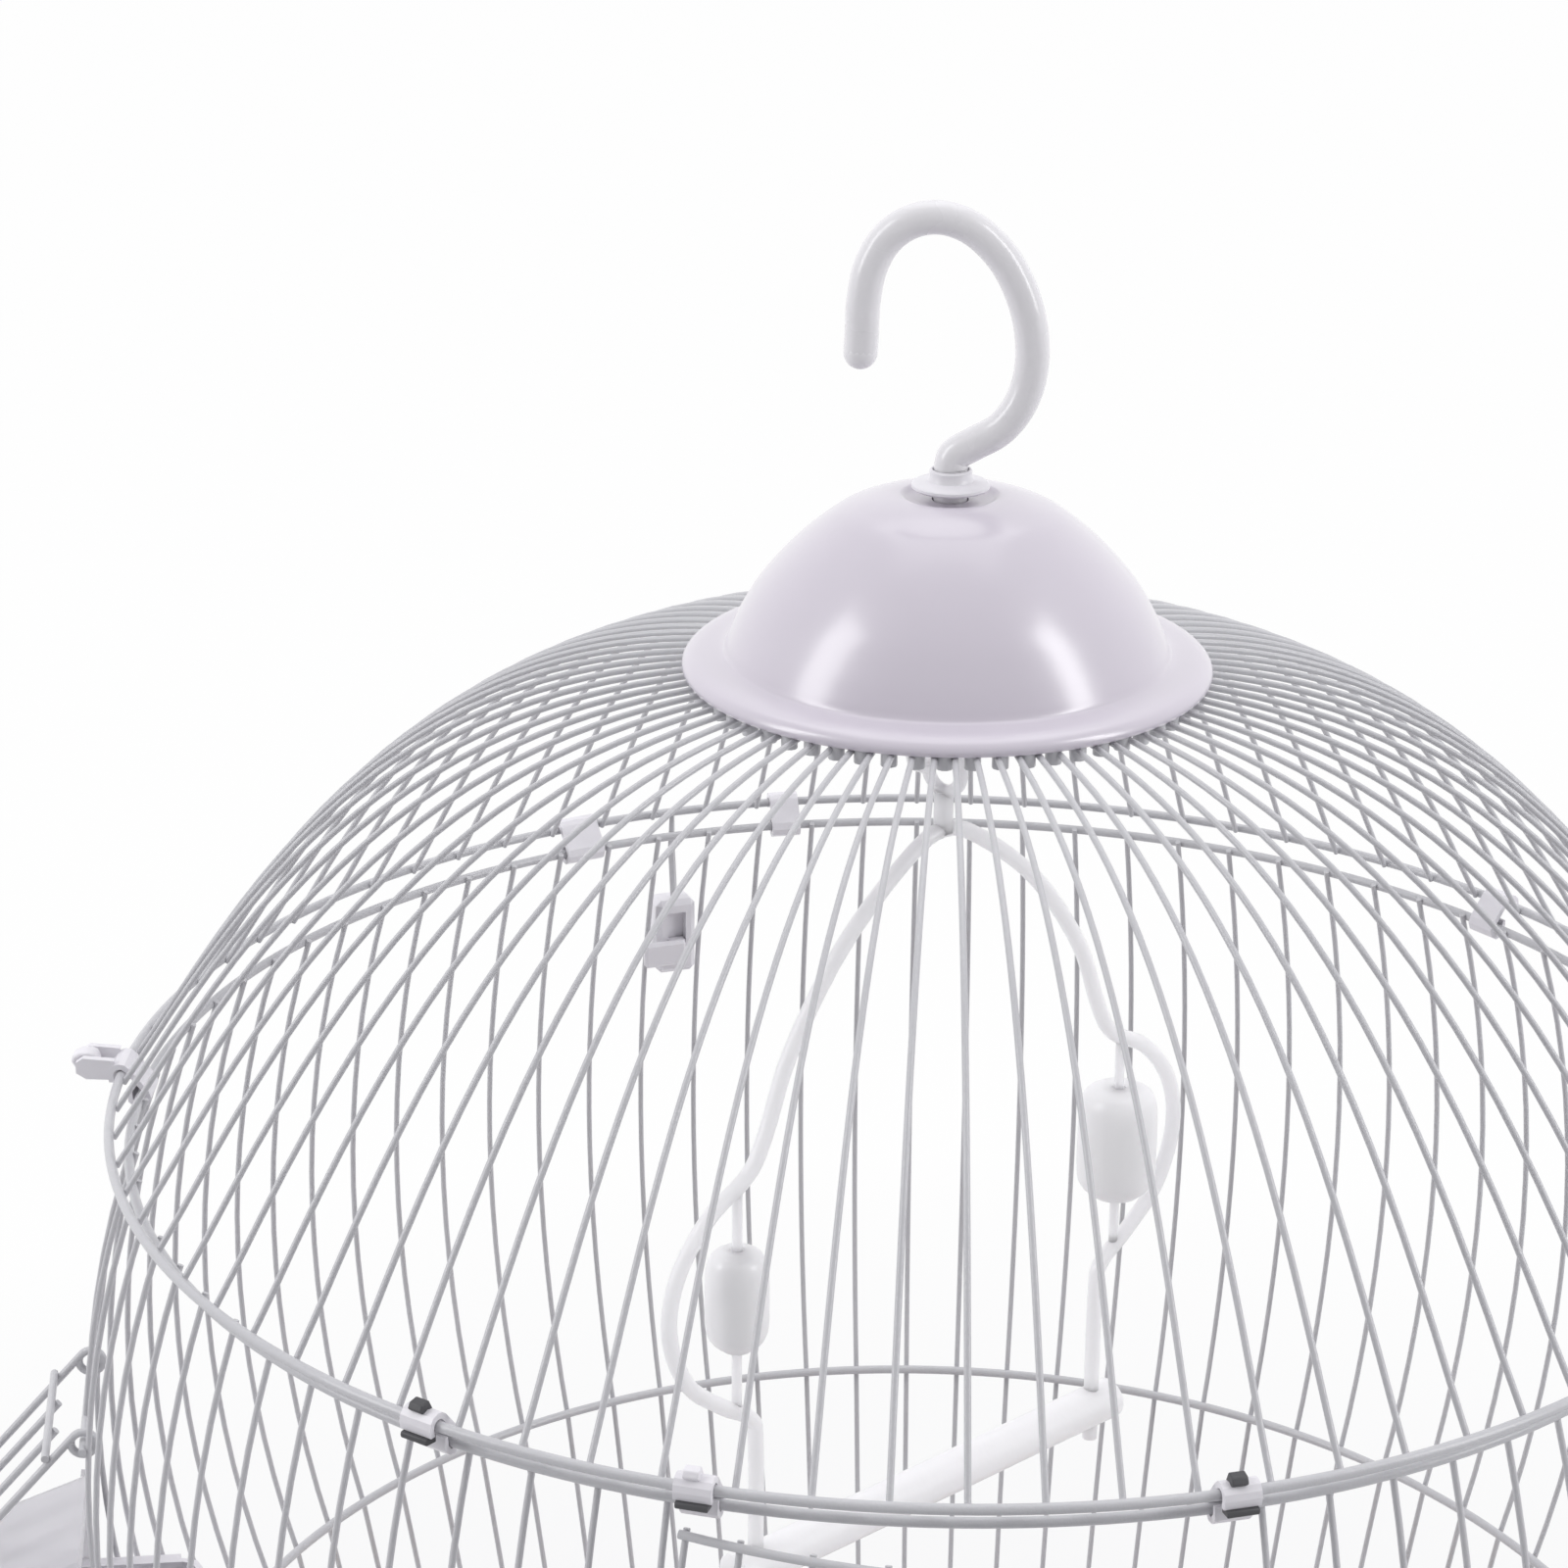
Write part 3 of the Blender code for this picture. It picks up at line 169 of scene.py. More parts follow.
def shader_material(name, colour, roughness, spread, bump, scale, coat=0.0, coat_roughness=0.06):
    """A surface with slight variation in tone and gloss and a fine skin, from noise in its own space."""
    material = bpy.data.materials.new(name)
    material.use_nodes = True
    tree = material.node_tree
    nodes = tree.nodes
    links = tree.links
    shader = nodes["Principled BSDF"]
    place = nodes.new("ShaderNodeTexCoord")
    broad = nodes.new("ShaderNodeTexNoise")
    broad.inputs["Scale"].default_value = 38.0
    broad.inputs["Detail"].default_value = 4.0
    links.new(place.outputs["Object"], broad.inputs["Vector"])
    tone = nodes.new("ShaderNodeValToRGB")
    low = tuple(max(0.0, c - spread) for c in colour)
    high = tuple(min(1.0, c + spread * 0.6) for c in colour)
    tone.color_ramp.elements[0].position = 0.3
    tone.color_ramp.elements[1].position = 0.7
    tone.color_ramp.elements[0].color = (*low, 1)
    tone.color_ramp.elements[1].color = (*high, 1)
    links.new(broad.outputs["Fac"], tone.inputs["Fac"])
    links.new(tone.outputs["Color"], shader.inputs["Base Color"])
    gloss = nodes.new("ShaderNodeMapRange")
    gloss.inputs["To Min"].default_value = max(0.02, roughness - 0.05)
    gloss.inputs["To Max"].default_value = roughness + 0.07
    links.new(broad.outputs["Fac"], gloss.inputs["Value"])
    links.new(gloss.outputs["Result"], shader.inputs["Roughness"])
    fine = nodes.new("ShaderNodeTexNoise")
    fine.inputs["Scale"].default_value = scale
    fine.inputs["Detail"].default_value = 3.0
    links.new(place.outputs["Object"], fine.inputs["Vector"])
    skin = nodes.new("ShaderNodeBump")
    skin.inputs["Strength"].default_value = bump
    skin.inputs["Distance"].default_value = 0.0004
    links.new(fine.outputs["Fac"], skin.inputs["Height"])
    links.new(skin.outputs["Normal"], shader.inputs["Normal"])
    if coat:
        shader.inputs["Coat Weight"].default_value = coat
        shader.inputs["Coat Roughness"].default_value = coat_roughness
    return material


COAT = shader_material("white_powder_coat", (0.54, 0.54, 0.56), 0.3, 0.02, 0.25, 1400.0, coat=0.2)
HOOK_COAT = shader_material("hook_coat", (0.78, 0.77, 0.79), 0.26, 0.015, 0.12, 700.0, coat=0.3)
GLOSS = shader_material("gloss_white_moulding", (0.61, 0.57, 0.64), 0.3, 0.012, 0.02, 500.0, 1.0, 0.2)
MOULDED = shader_material("white_moulding", (0.78, 0.765, 0.80), 0.32, 0.015, 0.06, 900.0, coat=0.1)
STEEL = shader_material("zinc_nut", (0.55, 0.55, 0.58), 0.3, 0.05, 0.1, 1200.0)
STEEL.node_tree.nodes["Principled BSDF"].inputs["Metallic"].default_value = 0.9

# A near-black material for the clips' dark pads; in the clips' mouths it is painted shade.
DARK_PAD_AND_PAINTED_SHADE = shader_material("dark_pad_and_painted_shade", (0.06, 0.06, 0.065), 0.5, 0.01, 0.1, 900.0)


def milky_material():
    """White plastic that lets some light through, as the pieces inside the cage."""
    colour = (0.93, 0.915, 0.945)
    material = shader_material("milky_white_moulding", colour, 0.3, 0.012, 0.05, 700.0, coat=0.2)
    shader = material.node_tree.nodes["Principled BSDF"]
    shader.inputs["Subsurface Weight"].default_value = 0.9
    shader.inputs["Subsurface Radius"].default_value = (1.0, 1.0, 1.0)
    shader.inputs["Subsurface Scale"].default_value = 0.012
    return material


MILKY = milky_material()


def clear_material():
    material = shader_material("milky_clear_moulding", (0.86, 0.85, 0.88), 0.16, 0.01, 0.03, 500.0)
    shader = material.node_tree.nodes["Principled BSDF"]
    shader.inputs["Transmission Weight"].default_value = 0.55
    shader.inputs["IOR"].default_value = 1.46
    return material


CLEAR = clear_material()


def wood_material():
    material = bpy.data.materials.new("perch_wood")
    material.use_nodes = True
    tree = material.node_tree
    nodes = tree.nodes
    links = tree.links
    shader = nodes["Principled BSDF"]
    place = nodes.new("ShaderNodeTexCoord")
    stretch = nodes.new("ShaderNodeMapping")
    stretch.inputs["Scale"].default_value = (9, 190, 190)
    links.new(place.outputs["Object"], stretch.inputs["Vector"])
    grain = nodes.new("ShaderNodeTexNoise")
    grain.inputs["Scale"].default_value = 2.2
    grain.inputs["Detail"].default_value = 8.0
    grain.inputs["Distortion"].default_value = 1.2
    links.new(stretch.outputs["Vector"], grain.inputs["Vector"])
    tone = nodes.new("ShaderNodeValToRGB")
    tone.color_ramp.elements[0].position = 0.32
    tone.color_ramp.elements[0].color = (0.42, 0.27, 0.13, 1)
    tone.color_ramp.elements[1].position = 0.68
    tone.color_ramp.elements[1].color = (0.66, 0.49, 0.29, 1)
    links.new(grain.outputs["Fac"], tone.inputs["Fac"])
    links.new(tone.outputs["Color"], shader.inputs["Base Color"])
    shader.inputs["Roughness"].default_value = 0.55
    skin = nodes.new("ShaderNodeBump")
    skin.inputs["Strength"].default_value = 0.25
    skin.inputs["Distance"].default_value = 0.0003
    links.new(grain.outputs["Fac"], skin.inputs["Height"])
    links.new(skin.outputs["Normal"], shader.inputs["Normal"])
    return material


WOOD = wood_material()


# Pieces


def wires(name, runs, diameter, material, body, replaces=(), cyclic=False, sides=3, matrix=None):
    """Round wire along runs of points, all in one piece. cyclic may be one flag, or one for each run."""
    curve = bpy.data.curves.new(name, "CURVE")
    curve.dimensions = "3D"
    curve.bevel_depth = diameter / 2
    curve.bevel_resolution = sides
    curve.use_fill_caps = True
    for number, run in enumerate(runs):
        closed = cyclic[number] if isinstance(cyclic, (list, tuple)) else cyclic
        spline = curve.splines.new("POLY")
        spline.points.add(len(run) - 1)
        for point, place in zip(spline.points, run):
            point.co = (*place, 1)
        spline.use_cyclic_u = closed
        spline.use_smooth = True
    curve.materials.append(material)
    obj = link(bpy.data.objects.new(name, curve))
    if matrix is not None:
        obj.matrix_world = matrix
    bpy.context.view_layer.update()
    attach(obj, body)
    if replaces:
        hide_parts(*replaces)


def circle(radius, height, count=240):
    return [polar(2 * math.pi * i / count, radius, height) for i in range(count)]


def turned(name, profile, material, body, replaces, steps, matrix=None):
    """A smooth turned shape about Z, from a closed profile of (radius, height)."""
    shape = bmesh.new()
    rings = []
    for radius, height in profile:
        ring = []
        for step in range(steps):
            angle = 2 * math.pi * step / steps
            ring.append(shape.verts.new((radius * math.cos(angle), radius * math.sin(angle), height)))
        rings.append(ring)
    count = len(rings)
    for i in range(count):
        a = rings[i]
        b = rings[(i + 1) % count]
        for step in range(steps):
            after = (step + 1) % steps
            shape.faces.new((a[step], a[after], b[after], b[step]))
    bmesh.ops.remove_doubles(shape, verts=shape.verts, dist=1e-7)
    bmesh.ops.recalc_face_normals(shape, faces=shape.faces)
    mesh = bpy.data.meshes.new(name)
    shape.to_mesh(mesh)
    shape.free()
    mesh.shade_smooth()
    mesh.set_sharp_from_angle(angle=math.radians(38))
    mesh.materials.append(material)
    obj = link(bpy.data.objects.new(name, mesh))
    if matrix is not None:
        obj.matrix_world = matrix
    bpy.context.view_layer.update()
    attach(obj, body)
    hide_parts(*replaces)


def dress(name, material, bevel):
    """Gives a CAD node its material, and rounds its edges."""
    obj = NODES[name]
    obj.data.materials.clear()
    obj.data.materials.append(material)
    if bevel:
        edge = obj.modifiers.new("edges", "BEVEL")
        edge.width = bevel
        edge.segments = 2
        edge.limit_method = "ANGLE"
        edge.angle_limit = math.radians(30)
        edge.harden_normals = False
    obj.data.shade_smooth()
    obj.data.set_sharp_from_angle(angle=math.radians(40))


def roof():
    samples = 26
    path = [roof_point(share) for share in np.linspace(0, 1, samples)]
    first = Vector((path[0][0], path[0][1]))
    second = Vector((path[1][0], path[1][1]))
    start = first + (first - second).normalized() * PAST_HOOP
    path[0] = (start.x, start.y)
    runs = [[polar(wire_azimuth(k), radius, height) for radius, height in path] for k in range(WIRES)]
    wires("roof_wires", runs, WIRE, COAT, "cage", ["roof_grille"])
    last = Vector(path[-1])
    inward = (last - Vector(path[-2])).normalized()
    ring = last - inward * PAST_HOOP + Vector((inward.y, -inward.x)) * HOOP_OUT
    hoops = [circle(ROOF_HOOP_RADIUS, JOIN_Z), circle(ring.x, ring.y, 120)]
    wires("roof_hoops", hoops, HOOP_WIRE, COAT, "cage", cyclic=True, sides=4)


def upright(azimuth, top, foot, shift=0.0):
    depths = [top]
    knots = list(np.linspace(BODY_HOOP_DEPTH, LOWER_HOOP_DEPTH, 17)) + [LOWER_HOOP_DEPTH + 3 * MM]
    knots += [FOOT_DEPTH]
    depths += [depth for depth in knots if top + 0.5 * MM < depth < foot - 0.5 * MM]
    depths.append(foot)
    return [polar(azimuth, grille_radius(depth) + shift, JOIN_Z - depth) for depth in depths]


def arc_rail(depth, first, last, shift, steps=20):
    radius = grille_radius(depth) + shift
    return [polar(azimuth, radius, JOIN_Z - depth) for azimuth in np.linspace(first, last, steps + 1)]


def feeder_rail(side, depth):
    out = grille_radius(depth) * math.cos(1.5 * PITCH) + RAIL_OUT
    place = outward(side * FEEDER_AZIMUTH, out, JOIN_Z - depth)
    reach = grille_radius(depth) * math.sin(1.5 * PITCH) + 0.8 * MM
    return [place @ Vector((0, -reach, 0)), place @ Vector((0, reach, 0))]


def body():
    top = BODY_HOOP_DEPTH - PAST_HOOP
    end = FOOT_DEPTH + PAST_HOOP
    sill = LOWER_HOOP_DEPTH - 5 * MM
    runs = []
    for k in range(-40, 40):
        azimuth = wire_azimuth(k)
        if DOOR_HINGE_WIRE < k < DOOR_STOP_WIRE:
            runs.append(upright(azimuth, sill - PAST_HOOP, end))
        elif k in (18, 19, -18, -17):
            runs.append(upright(azimuth, top, FEEDER_TOP + PAST_HOOP))
            runs.append(upright(azimuth, FEEDER_FOOT - PAST_HOOP, end))
        else:
            runs.append(upright(azimuth, top, end))
    panels = [name for name in NODES if name.startswith("body_")]
    wires("body_wires", runs, WIRE, COAT, "cage", panels)
    hoops = [
        circle(grille_radius(BODY_HOOP_DEPTH) + HOOP_OUT, JOIN_Z - BODY_HOOP_DEPTH),
        circle(grille_radius(FOOT_DEPTH) + HOOP_OUT, JOIN_Z - FOOT_DEPTH),
    ]
    wires("body_hoops", hoops, HOOP_WIRE, COAT, "cage", cyclic=True, sides=4)
    rails = [
        arc_rail(sill, wire_azimuth(DOOR_HINGE_WIRE - 0.15), wire_azimuth(DOOR_STOP_WIRE + 0.15), RAIL_OUT),
    ]
    keeper_ends = (wire_azimuth(DOOR_STOP_WIRE - 0.1), wire_azimuth(DOOR_STOP_WIRE + 1.1))
    rails.append(arc_rail(KEEPER_DEPTH, *keeper_ends, RAIL_OUT, 4))
    for side in (-1, 1):
        for depth in (FEEDER_TOP, FEEDER_FOOT):
            rails.append(feeder_rail(side, depth))
    wires("body_rails", rails, RAIL_WIRE, COAT, "cage")
    inner = grille_radius(LOWER_HOOP_DEPTH) - WIRE / 2 - 1.0 * MM - 0.1 * MM
    ring = [circle(inner, JOIN_Z - LOWER_HOOP_DEPTH + 2 * MM)]
    wires("lower_hoop_round", ring, 2 * MM, COAT, "cage", ["lower_hoop"], cyclic=True)


def front_door():
    hinge_azimuth = wire_azimuth(DOOR_HINGE_WIRE)
    loop_depths = (CREST_DEPTH - 21.5 * MM, CREST_DEPTH + 21.5 * MM)
    hinge_radius = grille_radius(loop_depths[0])
    hinge = polar(hinge_azimuth, hinge_radius, 0)
    ajar = Matrix.Translation(hinge) @ Matrix.Rotation(-DOOR_AJAR, 4, "Z") @ Matrix.Translation(-hinge)
    loop_radius = 3.0 * MM
    stile = hinge_azimuth + loop_radius / hinge_radius
    stop_stile = wire_azimuth(DOOR_STOP_WIRE) - 4 * MM / CREST_RADIUS
    azimuths = [stile] + [wire_azimuth(k) for k in range(DOOR_HINGE_WIRE + 1, DOOR_STOP_WIRE)] + [stop_stile]
    bars = [upright(a, DOOR_TOP - PAST_HOOP, DOOR_FOOT + PAST_HOOP, DOOR_PROUD) for a in azimuths]
    wires("door_bars", bars, WIRE, COAT, "front_door", ["front_door"], matrix=ajar)
    last = wire_azimuth(DOOR_STOP_WIRE) + 1.6 * MM / CREST_RADIUS
    first = stile - 0.8 * MM / hinge_radius
    rails = [arc_rail(depth, first, last, DOOR_PROUD + RAIL_OUT) for depth in (DOOR_TOP, DOOR_FOOT)]
    for depth in loop_depths:
        centre = polar(hinge_azimuth, hinge_radius, JOIN_Z - depth)
        rails.append([centre + polar(2 * math.pi * i / 28, loop_radius, 0) for i in range(29)])
    wires("door_rails", rails, RAIL_WIRE, COAT, "front_door", matrix=ajar)


def flaps():
    for side, word in ((-1, "left"), (1, "right")):
        place = outward(side * FEEDER_AZIMUTH)
        out = grille_radius(FEEDER_TOP) * math.cos(1.5 * PITCH) + RAIL_OUT
        axis = place @ Vector((out, 0, JOIN_Z - FEEDER_TOP))
        along = place.to_3x3() @ Vector((0, 1, 0))
        turn = Matrix.Rotation(-FLAP_OPEN, 4, along)
        local = Matrix.Translation(axis) @ turn @ place.to_3x3().to_4x4()
        thin = 1.6 * MM
        loop = 2.4 * MM
        half = 16.5 * MM
        inner = 5.5 * MM
        tip = -FLAP_LENGTH
        runs = []
        for across in (-half, half):
            curl = [
                Vector((loop * math.cos(a), across, loop * math.sin(a)))
                for a in np.radians(np.linspace(330, 0, 24))
            ]
            runs.append(curl + [Vector((loop, across, -1.4 * MM)), Vector((loop, across, tip - 0.8 * MM))])
        for across in (-inner, inner):
            runs.append([Vector((loop, across, -6.2 * MM)), Vector((loop, across, tip - 0.8 * MM))])
        cross = loop + thin - WELD
        for height in (-7 * MM, tip):
            runs.append([Vector((cross, -half - 0.8 * MM, height)), Vector((cross, half + 0.8 * MM, height))])
        node = "feeder_flap_" + word
        wires("flap_wires_" + word, runs, thin, COAT, node, [node], matrix=local)


def cap():
    """The moulded cap: a bell with a shallow seat for the collar, a crease, a flange and a rolled lip."""
    top = CAP_TOP
    hole = HOOK_ROD / 2 + GAP
    seat = [(6.4, -0.9), (7.9, -0.6), (8.9, -0.05), (9.8, 0.1)]
    bell = [(13.0, -0.35), (17.0, -1.6), (21.5, -3.8), (28.7, -9.7)]
    bell += [(35.2, -17.0), (39.0, -23.2), (41.0, -27.6)]
    crease = [(41.75, -29.6), (42.4, -30.15), (44.0, -30.45)]
    flange = [(46.6, -30.75), (48.4, -31.25), (49.4, -32.0), (49.8, -32.8), (49.7, -33.5), (49.2, -34.0)]
    under = [(48.6, -34.0), (48.1, -33.4), (46.4, -32.6), (42.4, -31.9)]
    under += [(40.2, -30.4), (38.4, -25.6), (33.6, -18.4)]
    roof = [(27.2, -11.9), (20.4, -6.0), (12.6, -2.6), (8.4, -2.4)]
    drawn = seat + bell + crease + flange + under + roof
    keys = [(hole, -0.9 * MM)]
    keys += [(radius * MM, drop * MM) for radius, drop in drawn]
    keys.append((hole, -2.4 * MM))
    profile = [(p.x, top + p.y) for p in smooth([(*key, 0) for key in keys], 4)]
    turned("cap_shell", profile, GLOSS, "cage", ["cap"], 144)

    low = top + 0.5 * MM
    collar = [(hole, low + 4.4 * MM), (3.75 * MM, low + 4.4 * MM), (4.0 * MM, low + 4.1 * MM)]
    collar += [(3.95 * MM, low + 3 * MM)]
    collar += [(4.3 * MM, low + 2.3 * MM), (5.4 * MM, low + 1.98 * MM), (6.8 * MM, low + 1.85 * MM)]
    collar += [(7.25 * MM, low + 1.5 * MM), (7.3 * MM, low + 1.05 * MM), (6.9 * MM, low + 0.7 * MM)]
    collar += [(5.4 * MM, low + 0.35 * MM), (4.5 * MM, low), (hole, low)]
    turned("hook_collar_round", collar, MOULDED, "hook", ["hook_collar"], 72)


def hook():
    neck = CAP_TOP + 0.5 * MM + 1.6 * MM
    curl = [
        (0.0, 3.4),
        (0.8, 5.6),
        (4.2, 7.7),
        (9.0, 10.6),
        (12.6, 15.6),
        (14.3, 22.0),
        (14.1, 29.0),
        (12.2, 36.0),
        (8.6, 42.6),
        (3.4, 47.6),
        (-2.4, 49.8),
        (-8.0, 49.0),
        (-12.6, 45.6),
        (-15.4, 40.4),
        (-16.6, 34.0),
        (-16.8, 28.6),
        (-17.0, 24.6),
    ]
    keys = [(0, 0, neck - 42 * MM), (0, 0, neck - 20 * MM), (0, 0, neck)]
    keys += [(across * MM, 0, neck + up * MM) for across, up in curl]
    run = smooth(keys, 6)
    wires("hook_rod", [run], HOOK_ROD, HOOK_COAT, "hook", ["hook"], sides=6)
    tip = bmesh.new()
    bmesh.ops.create_uvsphere(tip, u_segments=32, v_segments=16, radius=HOOK_ROD / 2 * 1.004)
    mesh = bpy.data.meshes.new("hook_tip")
    tip.to_mesh(mesh)
    tip.free()
    mesh.shade_smooth()
    mesh.materials.append(HOOK_COAT)
    ball = link(bpy.data.objects.new("hook_tip", mesh))
    ball.location = run[-1]
    bpy.context.view_layer.update()
    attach(ball, "hook")


def swing():
    local = Matrix.Rotation(SWING_TURN, 4, "Z")
    side = [
        (0, 54),
        (10, 50),
        (26, 37),
        (39, 19.5),
        (45.5, 4),
        (50, -3),
        (60, -9),
        (67.5, -18.5),
        (69.5, -30),
        (65, -42),
        (56, -50),
        (49, -55),
        (47.5, -62),
    ]
    foot = PERCH_DROP + 7.5 * MM
    right = [Vector((w * MM, 0, JOIN_Z + z * MM)) for w, z in side] + [Vector((47.5 * MM, 0, JOIN_Z - foot))]
    left = [Vector((-point.x, 0, point.z)) for point in right[:0:-1]]
    runs = [smooth(left + right, 5)]
    wires("swing_rod", runs, 3.2 * MM, MILKY, "swing", ["swing_frame"], sides=4, matrix=local)
    eye = SWING_PIVOT - 1.5 * MM
    turns = np.radians(range(0, 360, 10))
    ring = [Vector((0, 4.6 * MM * math.cos(a), eye + 4.6 * MM * math.sin(a))) for a in turns]
    wires("swing_eye", [ring], 2.6 * MM, MILKY, "swing", (), True, 4, local)
    neck = [Vector((0, 0, eye - 4.6 * MM)), Vector((0, 0, JOIN_Z + 53.4 * MM))]
    wires("swing_neck", [neck], 3.8 * MM, MILKY, "swing", (), False, 5, local)
    pins = []
    for hand in (-1, 1):
        across = hand * 52.5 * MM
        pins.append([Vector((across, 0, JOIN_Z - 3.6 * MM)), Vector((across, 0, JOIN_Z - 53 * MM))])
    wires("swing_pins", pins, 2 * MM, MILKY, "swing", (), False, 3, local)
    perch = [Vector((-53 * MM, 0, JOIN_Z - PERCH_DROP)), Vector((53 * MM, 0, JOIN_Z - PERCH_DROP))]
    wires("swing_perch_round", [perch], 8.6 * MM, MILKY, "swing", ["swing_perch"], False, 8, local)
    bar = 2.4 * MM
    plate_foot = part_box("cap_plate")[0].z
    half = 9 * MM
    stirrup = [
        Vector((-half, 0, plate_foot)),
        Vector((-half, 0, SWING_PIVOT + 4 * MM)),
        Vector((-half + 0.8 * MM, 0, SWING_PIVOT + 1.2 * MM)),
        Vector((-half + 3.4 * MM, 0, SWING_PIVOT)),
        Vector((half - 3.4 * MM, 0, SWING_PIVOT)),
        Vector((half - 0.8 * MM, 0, SWING_PIVOT + 1.2 * MM)),
        Vector((half, 0, SWING_PIVOT + 4 * MM)),
        Vector((half, 0, plate_foot)),
    ]
    wires("stirrup", [stirrup], bar, MILKY, "cage", ["swing_hanger"], False, 4, local)
    beads = {"left": (-1, 6.2, 21), "right": (1, 8.2, 24)}
    for word, (hand, radius, height) in beads.items():
        half = height / 2
        keys = [
            (1.4, half),
            (radius - 3.4, half),
            (radius - 1.2, half - 1.4),
            (radius - 0.2, half - 4.2),
            (radius, 2.5),
            (radius - 0.05, -(half - 5.4)),
            (radius - 0.9, -(half - 2.2)),
            (radius - 3.2, -half),
            (1.4, -half),
        ]
        middle = smooth([(r * MM, z * MM, 0) for r, z in keys[1:-1]], 5)
        profile = [(keys[0][0] * MM, keys[0][1] * MM)] + [(p.x, p.y) for p in middle]
        profile.append((keys[-1][0] * MM, keys[-1][1] * MM))
        place = Matrix.Translation(local @ Vector((hand * 52.5 * MM, 0, JOIN_Z - 28 * MM)))
        node = "swing_bead_" + word
        turned("bead_" + word, profile, MILKY, node, [node], 48, place)


def prism(name, outline, width, azimuth, out, material, body, replaces=(), shift=0.0, rounding=0.5 * MM):
    """An outline in the upright plane at an azimuth, in mm from the join, made thick with rounded edges."""
    place = outward(azimuth, out)
    shape = bmesh.new()
    sides = []
    for across in (shift - width / 2, shift + width / 2):
        sides.append([shape.verts.new(place @ Vector((x * MM, across, JOIN_Z + z * MM))) for x, z in outline])
    near, far = sides
    shape.faces.new(near)
    shape.faces.new(far[::-1])
    for i in range(len(outline)):
        after = (i + 1) % len(outline)
        shape.faces.new((near[i], far[i], far[after], near[after]))
    bmesh.ops.recalc_face_normals(shape, faces=shape.faces)
    mesh = bpy.data.meshes.new(name)
    shape.to_mesh(mesh)
    shape.free()
    mesh.materials.append(material)
    mesh.shade_smooth()
    mesh.set_sharp_from_angle(angle=math.radians(40))
    obj = link(bpy.data.objects.new(name, mesh))
    edge = obj.modifiers.new("edges", "BEVEL")
    edge.width = rounding
    edge.segments = 3
    edge.limit_method = "ANGLE"
    edge.angle_limit = math.radians(50)
    bpy.context.view_layer.update()
    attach(obj, body)
    if replaces:
        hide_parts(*replaces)


def lock_levers():
    """The short thumb levers of the two side locks, about the same pins as the solids' levers."""
    outline = [(164.6, 2.1), (165.2, 3.2), (166.4, 3.7), (168.2, 3.6), (169.6, 2.9), (170.0, 1.8)]
    outline += [(169.2, 0.6), (167.9, -0.8), (166.0, -1.1), (164.7, -0.1)]
    for side, word in ((-1, "left"), (1, "right")):
        node = "roof_lock_lever_" + word
        prism(node + "_short", outline, 4 * MM, side * 20 * PITCH, 0.24 * MM, MOULDED, node, [node])


def clip_pads_and_painted_shade():
    """Pads above the upper hoop of each front clip, dark except on the middle clip, and painted shade in each
    clip's mouth: a dark pad where its hollow lies in shade.
    """
    above = [(158.6, 1.9), (161.2, 1.9), (162.0, 2.6), (161.4, 3.7), (159.6, 3.9)]
    # The mouth pad is painted shade: a dark piece filling the clip's mouth, where the hollow between the
    # hoops is in shade.
    mouth = [(160.2, -1.4), (162.7, -1.6), (162.9, -2.2), (162.7, -2.8), (160.2, -3.0)]
    for word, number, bend in (("front_left", -7, -0.12), ("front", -3, -0.12), ("front_right", 4, 0.24)):
        for part, outline, width, shift in (("above", above, 2.8, -0.4), ("mouth", mouth, 5.6, 0.0)):
            name = "clip_pad_" + part + "_" + word
            stuff = MOULDED if (part, word) == ("above", "front") else DARK_PAD_AND_PAINTED_SHADE
            azimuth = number * PITCH
            prism(name, outline, width * MM, azimuth, bend * MM, stuff, "cage", (), shift * MM, 0.25 * MM)


def cap_studs():
    """The row of small studs that shows under the cap's lip."""
    runs = []
    for number in range(STUDS):
        azimuth = 2 * math.pi * number / STUDS
        runs.append([polar(azimuth, 47.5 * MM, CAP_TOP - drop * MM) for drop in (32.4, 36.6)])
    wires("cap_studs", runs, 3.0 * MM, COAT, "cage", sides=3)


roof()
body()
front_door()
flaps()
cap()
hook()
swing()
lock_levers()
clip_pads_and_painted_shade()
cap_studs()

SMALL_MOULDINGS = ("ring_clip", "roof_lock", "front_door_latch", "rear_catch", "base_clip")
for name in NODES:
    if name.startswith(SMALL_MOULDINGS) and not name.startswith("roof_lock_lever"):
        dress(name, MOULDED, 0.3 * MM)
for name in ("base_tray", "cap_plate", "feeder_cup_left", "feeder_cup_right"):
    dress(name, MOULDED, 0.25 * MM)
for name in ("feeder_hood_left", "feeder_hood_right"):
    dress(name, CLEAR, 0.2 * MM)
for name in ("perch_front", "perch_rear"):
    dress(name, WOOD, 0.4 * MM)
dress("hook_nut", STEEL, 0.3 * MM)
dress("rear_drop_wire", COAT, 0)


# Stage, light and camera


def backdrop_rays(tree):
    """1 for the rays that see the backdrop: from the camera, off gloss and through clear plastic."""
    path = tree.nodes.new("ShaderNodeLightPath")
    found = path.outputs["Is Camera Ray"]
    for ray in ("Is Glossy Ray", "Is Transmission Ray"):
        either = tree.nodes.new("ShaderNodeMath")
        either.operation = "MAXIMUM"
        tree.links.new(found, either.inputs[0])
        tree.links.new(path.outputs[ray], either.inputs[1])
        found = either.outputs[0]
    return found


